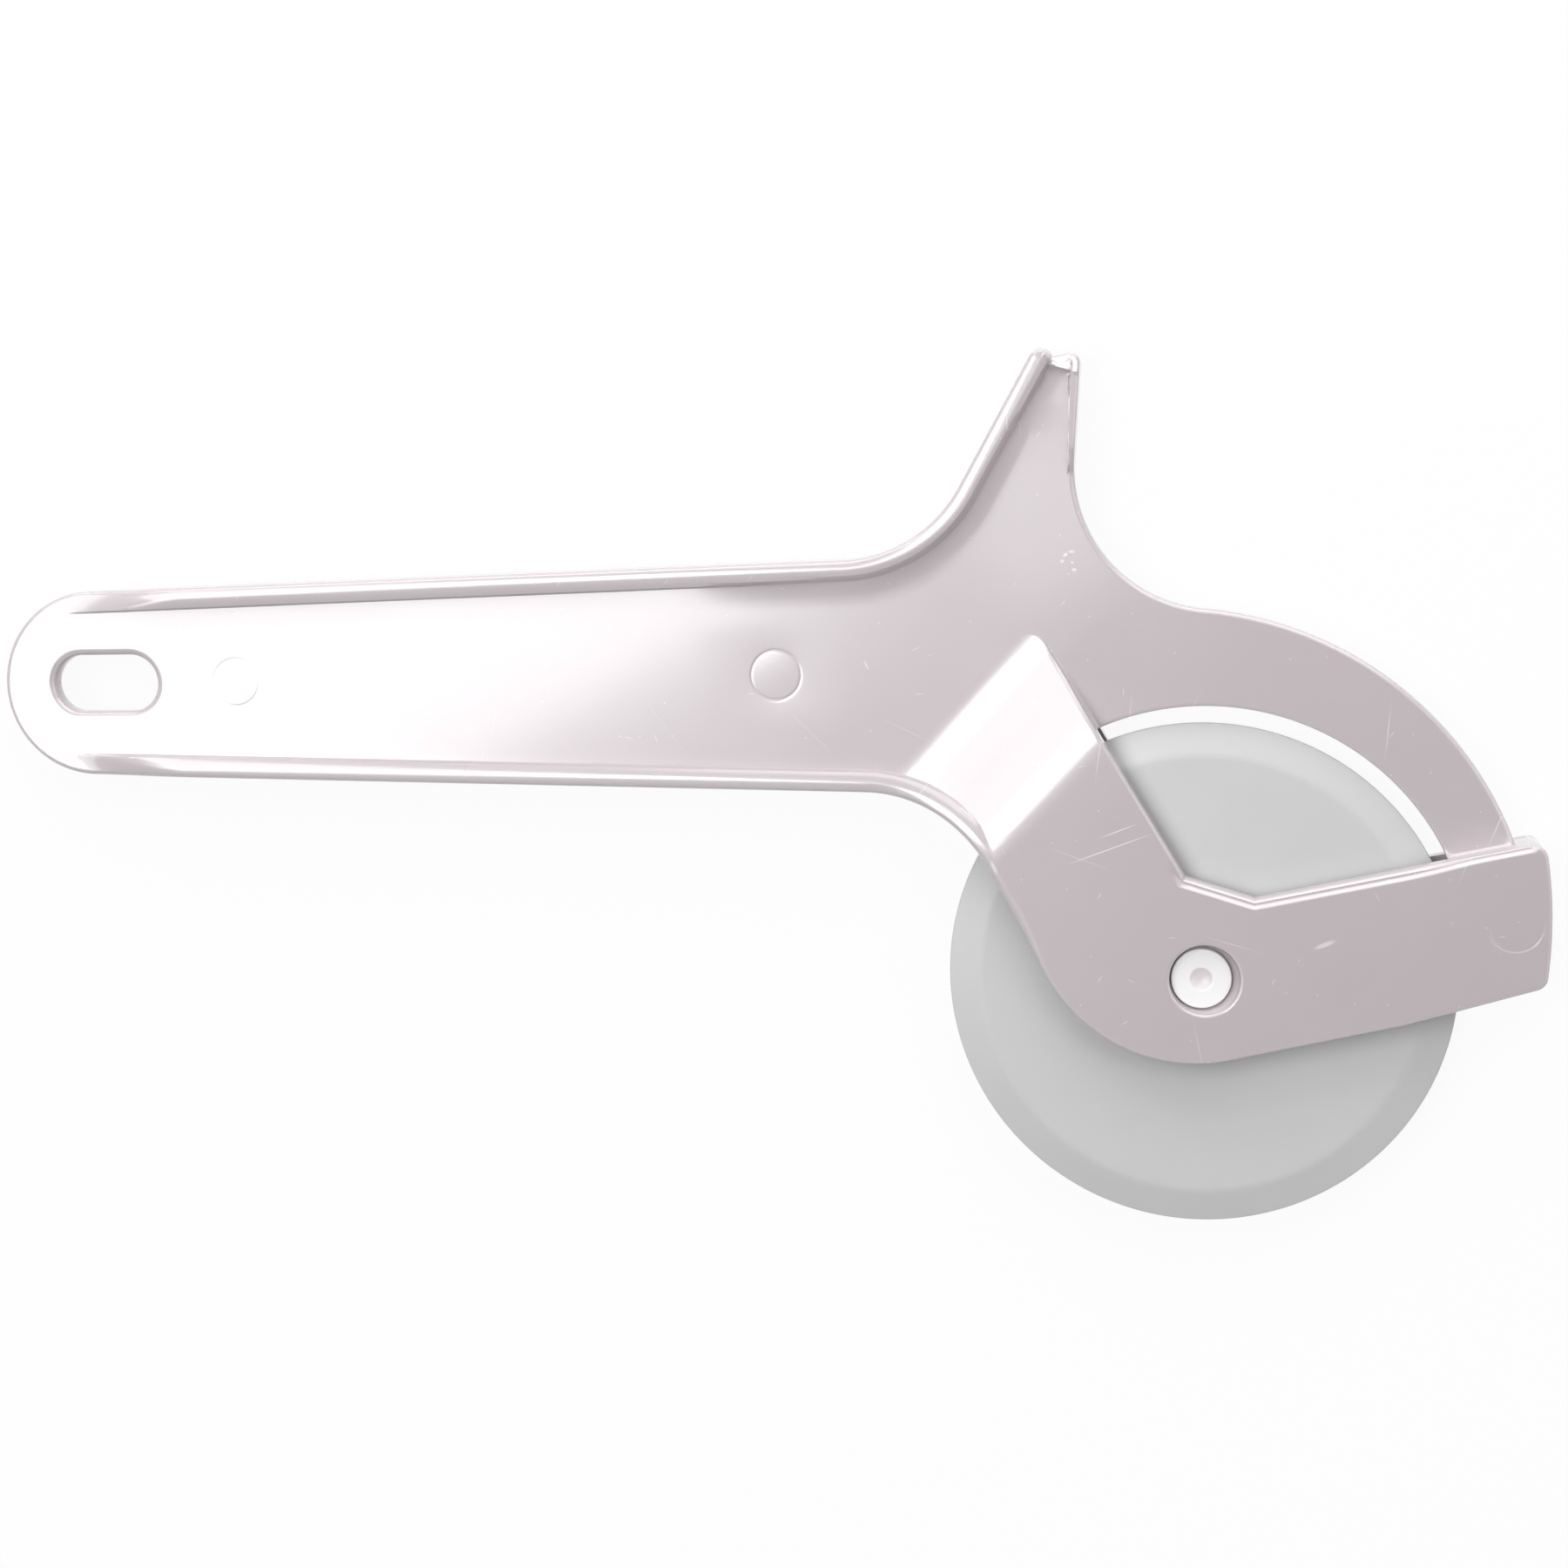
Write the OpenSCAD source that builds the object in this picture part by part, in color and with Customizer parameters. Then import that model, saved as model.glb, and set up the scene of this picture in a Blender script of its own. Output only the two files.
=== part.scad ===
// Pizza wheel: a one-piece moulded handle with a thumb horn, a wheel guard and a two-armed
// fork, a plastic cutting wheel, and a two-part axle that is pressed together through both.
// Millimetres. X runs along the grip towards the nose, Y from the wheel up to the horn and
// Z through the thickness. The part lies on its rear fork arm, and the origin is under the
// centre of its bounding box. Places in the plan are measured from the wheel's axis.

/* [Cutting wheel] */
// Diameter of the cutting wheel
wheel_d = 65; // [58:0.5:68]
// Thickness of the wheel between its flat faces
wheel_t = 2.6; // [2:0.1:3.4]
// Thickness left at the wheel's cutting edge
edge_t = 0.5; // [0.3:0.1:1]
// Width of the bevel round the wheel's edge
bevel_w = 4.1; // [2:0.1:6]
// Diameter of the hub bosses on the wheel and inside the fork
boss_d = 13; // [11:0.5:18]
// Height of the wheel's hub boss above each face
boss_h = 0.4; // [0.2:0.1:0.6]

/* [Axle] */
// Outer diameter of the sleeve that the wheel turns on
sleeve_d = 5.8; // [5:0.1:6.6]
// Diameter of the pin that is pressed into the sleeve
pin_d = 3.4; // [2.6:0.1:4]
// Diameter of the round head on each half of the axle
head_d = 7.7; // [7:0.1:8.4]
// Thickness of each head
head_t = 1; // [0.6:0.1:1.4]
// Diameter of the gate dimple in each head
dimple_d = 2.7; // [1.5:0.1:4]
// Depth of the gate dimple
dimple_depth = 0.45; // [0.2:0.05:0.7]
// Radial clearance of the sleeve in the wheel and in the arms
run_gap = 0.05; // [0.02:0.01:0.09]
// Radial interference of the pin in the sleeve
press_fit = 0.02; // [0.01:0.01:0.04]
// Side play between the wheel's boss and the fork on each side
side_play = 0.2; // [0.1:0.05:0.5]
// Free length left at the ends of the pin and of the sleeve
end_play = 0.2; // [0.1:0.05:0.4]

/* [Fork] */
// Thickness of the whole fork, from outer face to outer face
fork_t = 10.4; // [9.6:0.1:13]
// Thickness of each arm beside the wheel
arm_t = 2.8; // [2.6:0.1:3.4]
// Diameter of the recess that holds each axle head
recess_d = 9; // [8.6:0.1:10]
// Depth of the recess below the arm's outer face
recess_depth = 2.3; // [1.8:0.1:2.5]
// How far the arm reaches below the wheel's axis
arm_drop = 10.9; // [9:0.1:14]
// Radius of the arm's rounded underside round the hub
hub_r = 21.2; // [18:0.1:24]
// Distance of that radius's centre behind the wheel's axis
hub_back = 0.9; // [0:0.1:2]
// Lean of the arm's rear edge from the grip's axis, in degrees
rear_lean = 62.2; // [58:0.1:66]
// Lean of the arm's front edge from the grip's axis, in degrees
front_lean = 59.5; // [56:0.1:62]
// Rise of the arm's top edge towards the nose, in degrees
top_rise = 11.4; // [9:0.1:13]
// Rise of the arm's bottom edge towards the nose, in degrees
low_rise = 12.2; // [10:0.1:14]
// Rise of the nose's own bottom edge, in degrees
nose_rise = 15.7; // [14:0.1:18]
// Corner of the arm's front edge: distance behind the axis
brow_back = 1.9; // [0.5:0.1:4]
// Corner of the arm's front edge: height above the axis
brow_up = 13.1; // [11:0.1:15]
// Lowest point of the arm's top edge: distance ahead of the axis
dip_ahead = 6.8; // [5:0.1:9]
// Lowest point of the arm's top edge: height above the axis
dip_up = 10.35; // [9:0.05:11]
// Place where the bottom edge turns up into the nose, ahead of the axis
kink_ahead = 25.5; // [22:0.5:28]

/* [Joggle] */
// Direction of the two bend lines where the arms leave the web, in degrees
bend_angle = 47; // [44:0.5:50]
// Distance from the wheel's axis to the bend line at the web
bend_start = 46.6; // [44:0.1:49]
// Length over which each arm steps outwards
bend_l = 17.8; // [14:0.1:20]

/* [Guard and nose] */
// Gap between the wheel's edge and the pocket that it turns in
rim_gap = 1; // [0.8:0.1:1.4]
// Height of the pocket's centre above the wheel's axis
pocket_up = 1.2; // [0.8:0.1:1.5]
// Distance of the pocket's centre ahead of the wheel's axis
pocket_ahead = 0.4; // [0:0.1:0.8]
// Width of the guard above the wheel
guard_w = 12.6; // [10:0.1:15]
// Amount by which the guard narrows towards the nose
guard_taper = 4.5; // [3:0.1:6]
// Thickness of the nose ahead of the pocket
nose_t = 9.6; // [7:0.1:12]
// Radius of the nose's bowed front end
bow_r = 59; // [50:1:70]
// Height of the bow's centre above the wheel's axis
bow_up = 7.7; // [6:0.1:9]
// Radius of the nose's two corners
corner_r = 1.8; // [1:0.1:2.4]

/* [Grip] */
// Distance from the wheel's axis to the end of the grip
reach = 159.5; // [140:0.5:175]
// Height of the grip's centre line above the wheel's axis
grip_up = 39; // [36:0.5:42]
// Width of the grip at its round end
grip_w = 24.6; // [22:0.1:27]
// Angle by which each side of the grip opens towards the fork, in degrees
grip_taper = 1.5; // [0.5:0.1:2.5]
// Thickness of the web, the guard and the flat end
web_t = 3; // [2.4:0.1:3.6]
// Width of the beads along the grip and the rear of the horn
bead_w = 2.9; // [2.2:0.1:3.4]
// Thickness across both beads of one edge
bead_t = 6.4; // [5:0.1:7.4]
// Length over which a bead fades out on the grip's end
fade_l = 12; // [6:0.5:18]
// Distance from the end of the grip to where the beads begin
fade_back = 7.5; // [5:0.5:10]
// Radius of the curve from the grip's underside into the arms
low_r = 19; // [16:0.1:22]
// Length of the hanging slot
slot_l = 14.6; // [12:0.1:17]
// Width of the hanging slot
slot_w = 7.8; // [6:0.1:10]
// Distance from the end of the grip to the middle of the slot
slot_back = 13.8; // [12:0.1:17]

/* [Thumb horn] */
// Height of the horn's tip above the wheel's axis
horn_up = 80.3; // [75:0.1:84]
// Distance from the wheel's axis back to the front corner of the tip
tip_back = 14.6; // [12:0.1:16]
// Width of the horn across its tip
tip_w = 5.9; // [5.4:0.1:7]
// Lean of the horn's rear edge from the grip's axis, in degrees
horn_lean = 60.6; // [58:0.1:63]
// Lean of the horn's front edge from the grip's axis, in degrees
horn_front = 86; // [84:0.1:88]
// Radius of the curve from the grip's top into the horn
heel_r = 17.8; // [15:0.1:20]
// Radius of the curve from the horn into the guard
throat_r = 18; // [15:0.1:20]
// Width of the thin bead on the front of the horn
rib_w = 1.8; // [1.4:0.1:2.2]
// Length of that bead down from the tip
rib_l = 15; // [10:0.5:18]
// Step from the rear bead's rounded tip down to the front one's
tip_step = 0.7; // [0.3:0.1:1.2]
// Depth of the notch between the two rounded tips
notch = 1.4; // [1:0.1:2]

/* [Hidden] */
shell_colour = "#DCD0D5";
wheel_colour = "#C9C9C9";
// Smoothness of the round shapes and of the arms' step, and degrees between points on an outline
$fn = 96;
bend_steps = 16;
arc_step = 4;
corner_step = 12;
// Overrun of every cut past the faces that it opens
over = 1;

// The wheel, the axle and the levels through the thickness, from the middle plane
wheel_r = wheel_d / 2;
arm_out = fork_t / 2;
arm_in = arm_out - arm_t;
seat = arm_out - recess_depth;
boss_face = wheel_t / 2 + boss_h;
land_face = boss_face + side_play;
sleeve_r = sleeve_d / 2;
pin_r = pin_d / 2;
dimple_r = (pow(dimple_d / 2, 2) + pow(dimple_depth, 2)) / (2 * dimple_depth);

// The pocket that the wheel turns in, and the guard round it
pocket_r = wheel_r + rim_gap;
pocket_c = [pocket_ahead, pocket_up];
guard_r = pocket_r + guard_w;
guard_c = pocket_c - [guard_taper, 0];
nose_x = pocket_r + pocket_ahead + nose_t;

// Directions, and points that lie on two lines, on a circle or on a line beside a circle
function dir(a) = [cos(a), sin(a)];
function left_of(a) = [-sin(a), cos(a)];
function cross2(u, v) = u[0] * v[1] - u[1] * v[0];
function meet(p, a, q, b) = p + dir(a) * cross2(q - p, dir(b)) / cross2(dir(a), dir(b));
function beside(p, a, r, c, d) =
    let (q = p + r * left_of(a), w = q - c, b = w * dir(a))
    q + dir(a) * (sqrt(b * b - w * w + d * d) - b);
function arc(c, r, a, b, step = arc_step) =
    let (n = ceil(abs(b - a) / step)) [for (i = [0 : n]) c + r * dir(a + (b - a) * i / n)];
function angle_of(v) = atan2(v[1], v[0]);

// The grip: its round end and its two straight sides
end_r = grip_w / 2;
end_c = [end_r - reach, grip_up];
top_a = end_c + end_r * left_of(grip_taper);
low_a = end_c - end_r * left_of(-grip_taper);

// The horn: its front corner, its rear edge and the two curves at its root
tip_front = [-tip_back, horn_up];
tip_rear = tip_front - [tip_w, 0];
heel_c = meet(top_a + heel_r * left_of(grip_taper), grip_taper,
              tip_rear + heel_r * left_of(horn_lean), horn_lean);
throat_c = beside(tip_front, horn_front, -throat_r, guard_c, guard_r + throat_r);

// The arms: the round underside, the rear edge and the curve from the grip
hub_c = [-hub_back, hub_r - arm_drop];
rear_a = hub_c - hub_r * left_of(-rear_lean);
low_b = hub_c - hub_r * left_of(low_rise);
elbow = meet(low_a, -grip_taper, rear_a, -rear_lean);
elbow_c = meet(low_a - low_r * left_of(-grip_taper), -grip_taper,
               rear_a - low_r * left_of(-rear_lean), -rear_lean);
brow = [-brow_back, brow_up];
dip = [dip_ahead, dip_up];
kink = meet(low_b, low_rise, [kink_ahead, 0], 90);

// The nose: the bowed end and its two corners
bow_c = [nose_x - bow_r, bow_up];
low_corner = beside(kink, nose_rise, corner_r, bow_c, bow_r - corner_r);
top_corner = beside(dip, top_rise, -corner_r, bow_c, bow_r - corner_r);

// The step of the arms: distance along it, from the bend line at the web, and its height
bend_turn = bend_angle - 90;
bend_end = bend_start - bend_l;
bend_from = meet([0, 0] - bend_start * dir(bend_turn), bend_angle, low_a, -grip_taper);
bend_to = meet([0, 0] - bend_start * dir(bend_turn), bend_angle, brow, -front_lean);
bend_h = arm_out - web_t / 2;
bend_r = (pow(bend_l, 2) + pow(bend_h, 2)) / (4 * bend_h);
function rise(s) = s < bend_l / 2
    ? bend_r - sqrt(pow(bend_r, 2) - pow(s, 2))
    : bend_h - bend_r + sqrt(pow(bend_r, 2) - pow(bend_l - s, 2));

// The beads: how far each stays inside the edge or the bead that it runs into, and overlaps it
seam = 0.03;
seam_l = 0.4;
// The beads' middle lines, half widths and rounded tips, and how proud they stand
proud = (bead_t - web_t) / 2;
bead_mid = bead_w / 2;
bead_r = bead_mid - seam;
rib_mid = rib_w / 2;
rib_r = rib_mid - seam;
tip_bead = meet(tip_rear - bead_mid * left_of(horn_lean), horn_lean, [0, horn_up - bead_r], 0);
tip_rib = meet(tip_front + rib_mid * left_of(horn_front), horn_front,
               [0, horn_up - tip_step - rib_r], 0);
rib_a = tip_rib - rib_l * dir(horn_front);

// The bounding box of the whole part, which the origin is placed by
box_c = [(nose_x - reach) / 2, (horn_up - wheel_r) / 2];

module to_origin() {
    translate([-box_c[0], -box_c[1], arm_out]) children();
}

// Plan shapes

// The plate that the grip, the horn and the guard share
module web_plan() {
    plate_top = horn_up - notch;
    to_throat = angle_of(throat_c - guard_c);
    difference() {
        polygon(concat(
            arc(end_c, end_r, 90 + grip_taper, 270 - grip_taper),
            arc(elbow_c, low_r, 90 - grip_taper, 90 - rear_lean),
            [rear_a, pocket_c],
            arc(guard_c, guard_r, top_rise, to_throat),
            arc(throat_c, throat_r, to_throat + 180, horn_front + 90),
            [meet(tip_front, horn_front, [0, plate_top], 0),
             meet(tip_rear, horn_lean, [0, plate_top], 0)],
            arc(heel_c, heel_r, horn_lean - 90, grip_taper - 90)));
        translate(pocket_c) circle(r = pocket_r);
    }
}

// One arm of the fork and its share of the nose, from behind the bend line onwards
module arm_plan() {
    behind = bend_l * dir(bend_turn) / 2;
    low_end = angle_of(low_corner - bow_c);
    top_end = angle_of(top_corner - bow_c);
    polygon(concat(
        [bend_to - behind, bend_from - behind],
        arc(elbow_c, low_r, 90 - grip_taper, 90 - rear_lean),
        arc(hub_c, hub_r, 270 - rear_lean, 270 + low_rise),
        [kink],
        arc(low_corner, corner_r, nose_rise - 90, low_end, corner_step),
        arc(bow_c, bow_r, low_end, top_end),
        arc(top_corner, corner_r, top_end, top_rise + 90, corner_step),
        [dip, brow]));
}

// A slab whose thickness follows the step of the arms, with extra height on its outside
module bend_slab(extra) {
    far = guard_r + reach;
    level = web_t / 2 + extra;
    first = bend_l / bend_steps;
    upper = [for (i = [1 : bend_steps]) let (s = first * i) [s - bend_start, level + rise(s)]];
    half = concat([[-first - bend_start, level - rise(first)]], upper, [[far, arm_out + extra]]);
    back = [for (i = [len(half) - 1 : -1 : 0]) [half[i][0], -half[i][1]]];
    rotate([90, 0, bend_turn]) linear_extrude(height = 2 * far, center = true)
        polygon(concat(half, back));
}

// Beads

// The rounded section of a bead of a given half width and thickness
module pill_section(r, t) {
    square([2 * r, t - 2 * r], center = true);
    for (side = [-1, 1]) translate([0, side * (t / 2 - r)]) circle(r = r);
}

// A straight stretch is a hair slimmer than the curves and tips that it runs into
module bead_line(from, to, r) {
    run = to - from;
    translate(from - seam_l * run / norm(run)) rotate([90, 0, angle_of(run) + 90])
        linear_extrude(height = norm(run) + 2 * seam_l)
            pill_section(r - seam, bead_t - 2 * seam);
}

module bead_arc(c, mid_r, a, b, r) {
    translate(c) rotate(a) rotate_extrude(angle = b - a)
        translate([mid_r, 0]) pill_section(r, bead_t);
}

module bead_tip(at, r) {
    translate(at) rotate_extrude() intersection() {
        pill_section(r, bead_t);
        translate([0, -bead_t]) square([2 * r, 2 * bead_t]);
    }
}

// A wedge that lets a bead rise out of the plate, along X from a given start
module fade_wedge(start, length, run) {
    rise_x = start + length;
    rotate([90, 0, 0]) linear_extrude(height = 4 * reach, center = true)
        polygon([[start, -web_t / 2], [rise_x, -bead_t / 2], [start + run, -bead_t / 2],
                 [start + run, bead_t / 2], [rise_x, bead_t / 2], [start, web_t / 2]]);
}

module grip_beads() {
    top_from = top_a - bead_mid * left_of(grip_taper);
    low_from = low_a + bead_mid * left_of(-grip_taper);
    top_to = heel_c - (heel_r + bead_mid) * left_of(grip_taper);
    low_to = elbow_c + (low_r + bead_mid) * left_of(-grip_taper);
    intersection() {
        union() {
            bead_line(top_from, top_to, bead_r);
            bead_line(low_from, low_to, bead_r);
        }
        fade_wedge(fade_back - reach, fade_l, 2 * reach);
    }
    bead_arc(heel_c, heel_r + bead_mid, grip_taper - 90, horn_lean - 90, bead_r);
    bead_line(heel_c - (heel_r + bead_mid) * left_of(horn_lean), tip_bead, bead_r);
    bead_tip(tip_bead, bead_r);
    bead_arc(elbow_c, low_r + bead_mid, 90 - rear_lean, 90 - grip_taper, bead_r);
}

// The thin bead down the front of the horn, which fades out at its lower end
module horn_rib() {
    intersection() {
        bead_line(rib_a, tip_rib, rib_r);
        translate(rib_a) rotate(horn_front) fade_wedge(0, rib_l / 2, rib_l + over);
    }
    bead_tip(tip_rib, rib_r);
}

// The bead that climbs the step of the arms along the curve from the grip
module arm_bead() {
    inset = bead_mid - bead_r + seam;
    end = elbow_c + 2 * low_r * left_of(-rear_lean);
    intersection() {
        linear_extrude(height = fork_t - 2 * seam, center = true) difference() {
            intersection() {
                translate(elbow_c) circle(r = low_r + bead_w - inset);
                polygon([elbow_c, end, elbow, bend_from - [bend_l, 0]]);
            }
            translate(elbow_c) circle(r = low_r + inset);
        }
        bend_slab(proud);
    }
}

// Pieces

module handle() {
    color(shell_colour) to_origin() difference() {
        union() {
            difference() {
                union() {
                    linear_extrude(height = web_t, center = true) web_plan();
                    intersection() {
                        linear_extrude(height = fork_t, center = true) arm_plan();
                        bend_slab(0);
                    }
                    grip_beads();
                    arm_bead();
                    horn_rib();
                }
                translate([pocket_c[0], pocket_c[1], 0])
                    cylinder(r = pocket_r, h = 2 * arm_in, center = true);
            }
            for (side = [0, 1]) mirror([0, 0, side])
                translate([0, 0, land_face]) cylinder(d = boss_d, h = arm_out - land_face - arm_t / 2);
        }
        cylinder(r = sleeve_r + run_gap, h = fork_t + over, center = true);
        for (side = [0, 1]) mirror([0, 0, side])
            translate([0, 0, seat]) cylinder(d = recess_d, h = recess_depth + over);
        translate([slot_back - reach, grip_up, 0]) for (side = [-1, 1]) {
            translate([side * (slot_l - slot_w) / 2, 0, 0])
                cylinder(d = slot_w, h = web_t + over, center = true);
            cube([slot_l - slot_w, slot_w, web_t + over], center = true);
        }
    }
}

module cutting_wheel() {
    flat = wheel_t / 2;
    edge = edge_t / 2;
    half = [[sleeve_r + run_gap, boss_face], [boss_d / 2, boss_face], [boss_d / 2, flat],
            [wheel_r - bevel_w, flat], [wheel_r, edge]];
    back = [for (i = [len(half) - 1 : -1 : 0]) [half[i][0], -half[i][1]]];
    color(wheel_colour) to_origin() rotate_extrude($fn = 2 * $fn) polygon(concat(half, back));
}

// A round head that sits on the recess's floor, with the gate dimple in its face
module axle_head() {
    difference() {
        translate([0, 0, seat]) cylinder(d = head_d, h = head_t);
        translate([0, 0, seat + head_t + dimple_r - dimple_depth]) sphere(r = dimple_r);
    }
}

module axle_pin() {
    color(shell_colour) to_origin() {
        axle_head();
        translate([0, 0, end_play - seat]) cylinder(r = pin_r, h = 2 * seat - end_play);
    }
}

module axle_sleeve() {
    color(shell_colour) to_origin() {
        mirror([0, 0, 1]) axle_head();
        difference() {
            translate([0, 0, -seat]) cylinder(r = sleeve_r, h = 2 * seat - end_play);
            translate([0, 0, -seat]) cylinder(r = pin_r - press_fit, h = 2 * seat);
        }
    }
}

handle();
cutting_wheel();
axle_pin();
axle_sleeve();
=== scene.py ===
"""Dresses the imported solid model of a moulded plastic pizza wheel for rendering.

The handle is one injection moulding with the same face on both sides. Its skin is made in two steps: every
outline, edge row and circle of the plan is triangulated together, and each triangle is then raised to the
height of the plastic that stands over it. Walls close the steps between neighbours, and a mirrored copy makes
the back. Lengths are in millimetres from the wheel's axis until a mesh is written in metres.
"""

from __future__ import annotations

import logging
import math
from collections.abc import Sequence
from dataclasses import dataclass, field
from enum import IntEnum

import bpy
import numpy as np
from mathutils import Matrix, Vector
from mathutils.geometry import delaunay_2d_cdt

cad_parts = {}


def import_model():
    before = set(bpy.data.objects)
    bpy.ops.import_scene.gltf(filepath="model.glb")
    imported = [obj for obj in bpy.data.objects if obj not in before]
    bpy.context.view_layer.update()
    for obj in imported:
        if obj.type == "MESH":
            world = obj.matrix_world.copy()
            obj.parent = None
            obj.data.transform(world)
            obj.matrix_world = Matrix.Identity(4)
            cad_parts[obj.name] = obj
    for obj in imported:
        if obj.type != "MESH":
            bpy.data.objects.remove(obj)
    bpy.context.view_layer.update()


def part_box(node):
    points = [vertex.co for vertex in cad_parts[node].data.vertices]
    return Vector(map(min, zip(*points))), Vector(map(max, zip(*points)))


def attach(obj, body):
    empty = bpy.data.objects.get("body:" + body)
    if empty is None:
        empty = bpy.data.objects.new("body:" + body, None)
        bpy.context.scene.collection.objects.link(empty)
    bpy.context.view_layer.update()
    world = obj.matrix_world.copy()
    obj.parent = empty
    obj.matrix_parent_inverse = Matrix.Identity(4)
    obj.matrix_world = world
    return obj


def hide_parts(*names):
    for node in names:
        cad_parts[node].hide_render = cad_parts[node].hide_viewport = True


MM = 0.001
TINY = 1e-6
SHARP_ANGLE = 32.0
LOG = logging.getLogger("pizza_wheel")
Points = np.ndarray
Heights = np.ndarray
Node = bpy.types.Node
Socket = bpy.types.NodeSocket
Tree = bpy.types.NodeTree


# Directions and outlines in the plan


def heading(angle: float) -> Points:
    """Returns the unit vector at an angle in degrees."""
    return np.array([math.cos(math.radians(angle)), math.sin(math.radians(angle))])


def left_of(angle: float) -> Points:
    """Returns the unit vector that points to the left of a direction in degrees."""
    return heading(angle + 90)


def angle_of(vector: Points) -> float:
    """Returns the angle of a vector in degrees."""
    return math.degrees(math.atan2(vector[1], vector[0]))


def cross(u: Points, v: Points) -> float:
    """Returns the cross product of two plane vectors."""
    return float(u[0] * v[1] - u[1] * v[0])


def meet(p: Points, a: float, q: Points, b: float) -> Points:
    """Finds where two lines cross.

    Args:
        p: A point on the first line.
        a: The first line's direction in degrees.
        q: A point on the second line.
        b: The second line's direction in degrees.

    Returns:
        The point that lies on both lines.
    """
    p, q = np.asarray(p, float), np.asarray(q, float)
    return p + heading(a) * cross(q - p, heading(b)) / cross(heading(a), heading(b))


def beside(p: Points, a: float, r: float, c: Points, d: float) -> Points:
    """Finds a point at one distance from a line and at another from a point.

    Args:
        p: A point on the line.
        a: The line's direction in degrees.
        r: Distance from the line, to its left.
        c: The other point.
        d: Distance from that point.

    Returns:
        The farther of the two solutions along the line.
    """
    q = np.asarray(p, float) + r * left_of(a)
    w = q - c
    b = float(w @ heading(a))
    return q + heading(a) * (math.sqrt(b * b - float(w @ w) + d * d) - b)


def arc(c: Points, r: float, a: float, b: float, spacing: float) -> Points:
    """Samples an arc from angle a to angle b in degrees, both ends included."""
    count = max(2, math.ceil(abs(math.radians(b - a)) * r / spacing))
    return np.array([c + r * heading(a + (b - a) * i / count) for i in range(count + 1)])


def ring(c: Points, r: float, spacing: float) -> Points:
    """Samples a whole circle, with no point twice."""
    return arc(c, r, 0, 360, spacing)[:-1]


def join(*pieces: Sequence[Sequence[float]]) -> Points:
    """Joins runs of points into one line and drops points that repeat.

    Args:
        *pieces: The runs.

    Returns:
        The line.
    """
    line = np.vstack([np.asarray(piece, float).reshape(-1, 2) for piece in pieces])
    steps = np.linalg.norm(np.diff(line, axis=0), axis=1)
    return line[np.concatenate([[True], steps > TINY])]


def stretch(line: Points, spacing: float, closed: bool = False) -> Points:
    """Adds evenly spaced points to the long sides of a line.

    Args:
        line: The line's corners.
        spacing: The longest side to leave.
        closed: Whether the last point joins the first.

    Returns:
        The line with its long sides divided.
    """
    ends = np.roll(line, -1, axis=0) if closed else line[1:]
    out = []
    for p, q in zip(line, ends):
        count = max(1, math.ceil(float(np.linalg.norm(q - p)) / spacing))
        out.extend(p + (q - p) * i / count for i in range(count))
    if not closed:
        out.append(line[-1])
    return np.array(out)


def inset(line: Points, distance: float, closed: bool = False) -> Points:
    """Moves a line to its left, with mitred corners.

    Args:
        line: The line's points.
        distance: How far it moves.
        closed: Whether the last point joins the first.

    Returns:
        The moved line.
    """
    before = np.roll(line, 1, axis=0)
    after = np.roll(line, -1, axis=0)
    if not closed:
        before[0] = 2 * line[0] - line[1]
        after[-1] = 2 * line[-1] - line[-2]
    sides = []
    for run in (line - before, after - line):
        unit = run / np.linalg.norm(run, axis=1, keepdims=True)
        sides.append(np.stack([-unit[:, 1], unit[:, 0]], axis=1))
    mitre = sides[0] + sides[1]
    mitre /= np.linalg.norm(mitre, axis=1, keepdims=True)
    sharpest = 0.5
    lean = np.maximum(np.sum(mitre * sides[1], axis=1), sharpest)
    return line + mitre * (distance / lean)[:, None]


def distance_to(points: Points, line: Points, closed: bool = False) -> tuple[Heights, Heights]:
    """Measures how far points lie from a line.

    Args:
        points: The points.
        line: The line's points.
        closed: Whether the last point joins the first.

    Returns:
        Each point's distance, and how far along the line its nearest place is.
    """
    start = line if closed else line[:-1]
    run = (np.roll(line, -1, axis=0) if closed else line[1:]) - start
    length = np.linalg.norm(run, axis=1)
    along = np.concatenate([[0], np.cumsum(length)[:-1]])
    best = np.full(len(points), np.inf)
    place = np.zeros(len(points))
    for p, v, l, a in zip(start, run, length, along):
        t = np.clip(((points - p) @ v) / (l * l), 0, 1)
        gap = np.linalg.norm(points - p - t[:, None] * v, axis=1)
        closer = gap < best
        best[closer] = gap[closer]
        place[closer] = (a + t * l)[closer]
    return best, place


def gap_to(points: Points, line: Points, closed: bool = False) -> Heights:
    """Returns how far points lie from a line."""
    return distance_to(points, line, closed)[0]


def reach_from(points: Points, centre: Sequence[float] = (0, 0)) -> Heights:
    """Returns how far points lie from a centre."""
    return np.linalg.norm(points - np.asarray(centre), axis=1)


def inside(points: Points, outline: Points) -> np.ndarray:
    """Tells which points lie inside a closed outline.

    Args:
        points: The points.
        outline: The outline's points.

    Returns:
        True for each point inside.
    """
    found = np.zeros(len(points), bool)
    x, y = points[:, 0], points[:, 1]
    for p, q in zip(outline, np.roll(outline, -1, axis=0)):
        spans = (p[1] > y) != (q[1] > y)
        if spans.any():
            slope = (q[0] - p[0]) / (q[1] - p[1]) if q[1] != p[1] else 0.0
            found ^= spans & (x < p[0] + (y - p[1]) * slope)
    return found


def smooth_step(value: Heights) -> Heights:
    """Eases a value from 0 to 1."""
    t = np.clip(value, 0, 1)
    return t * t * (3 - 2 * t)


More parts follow.
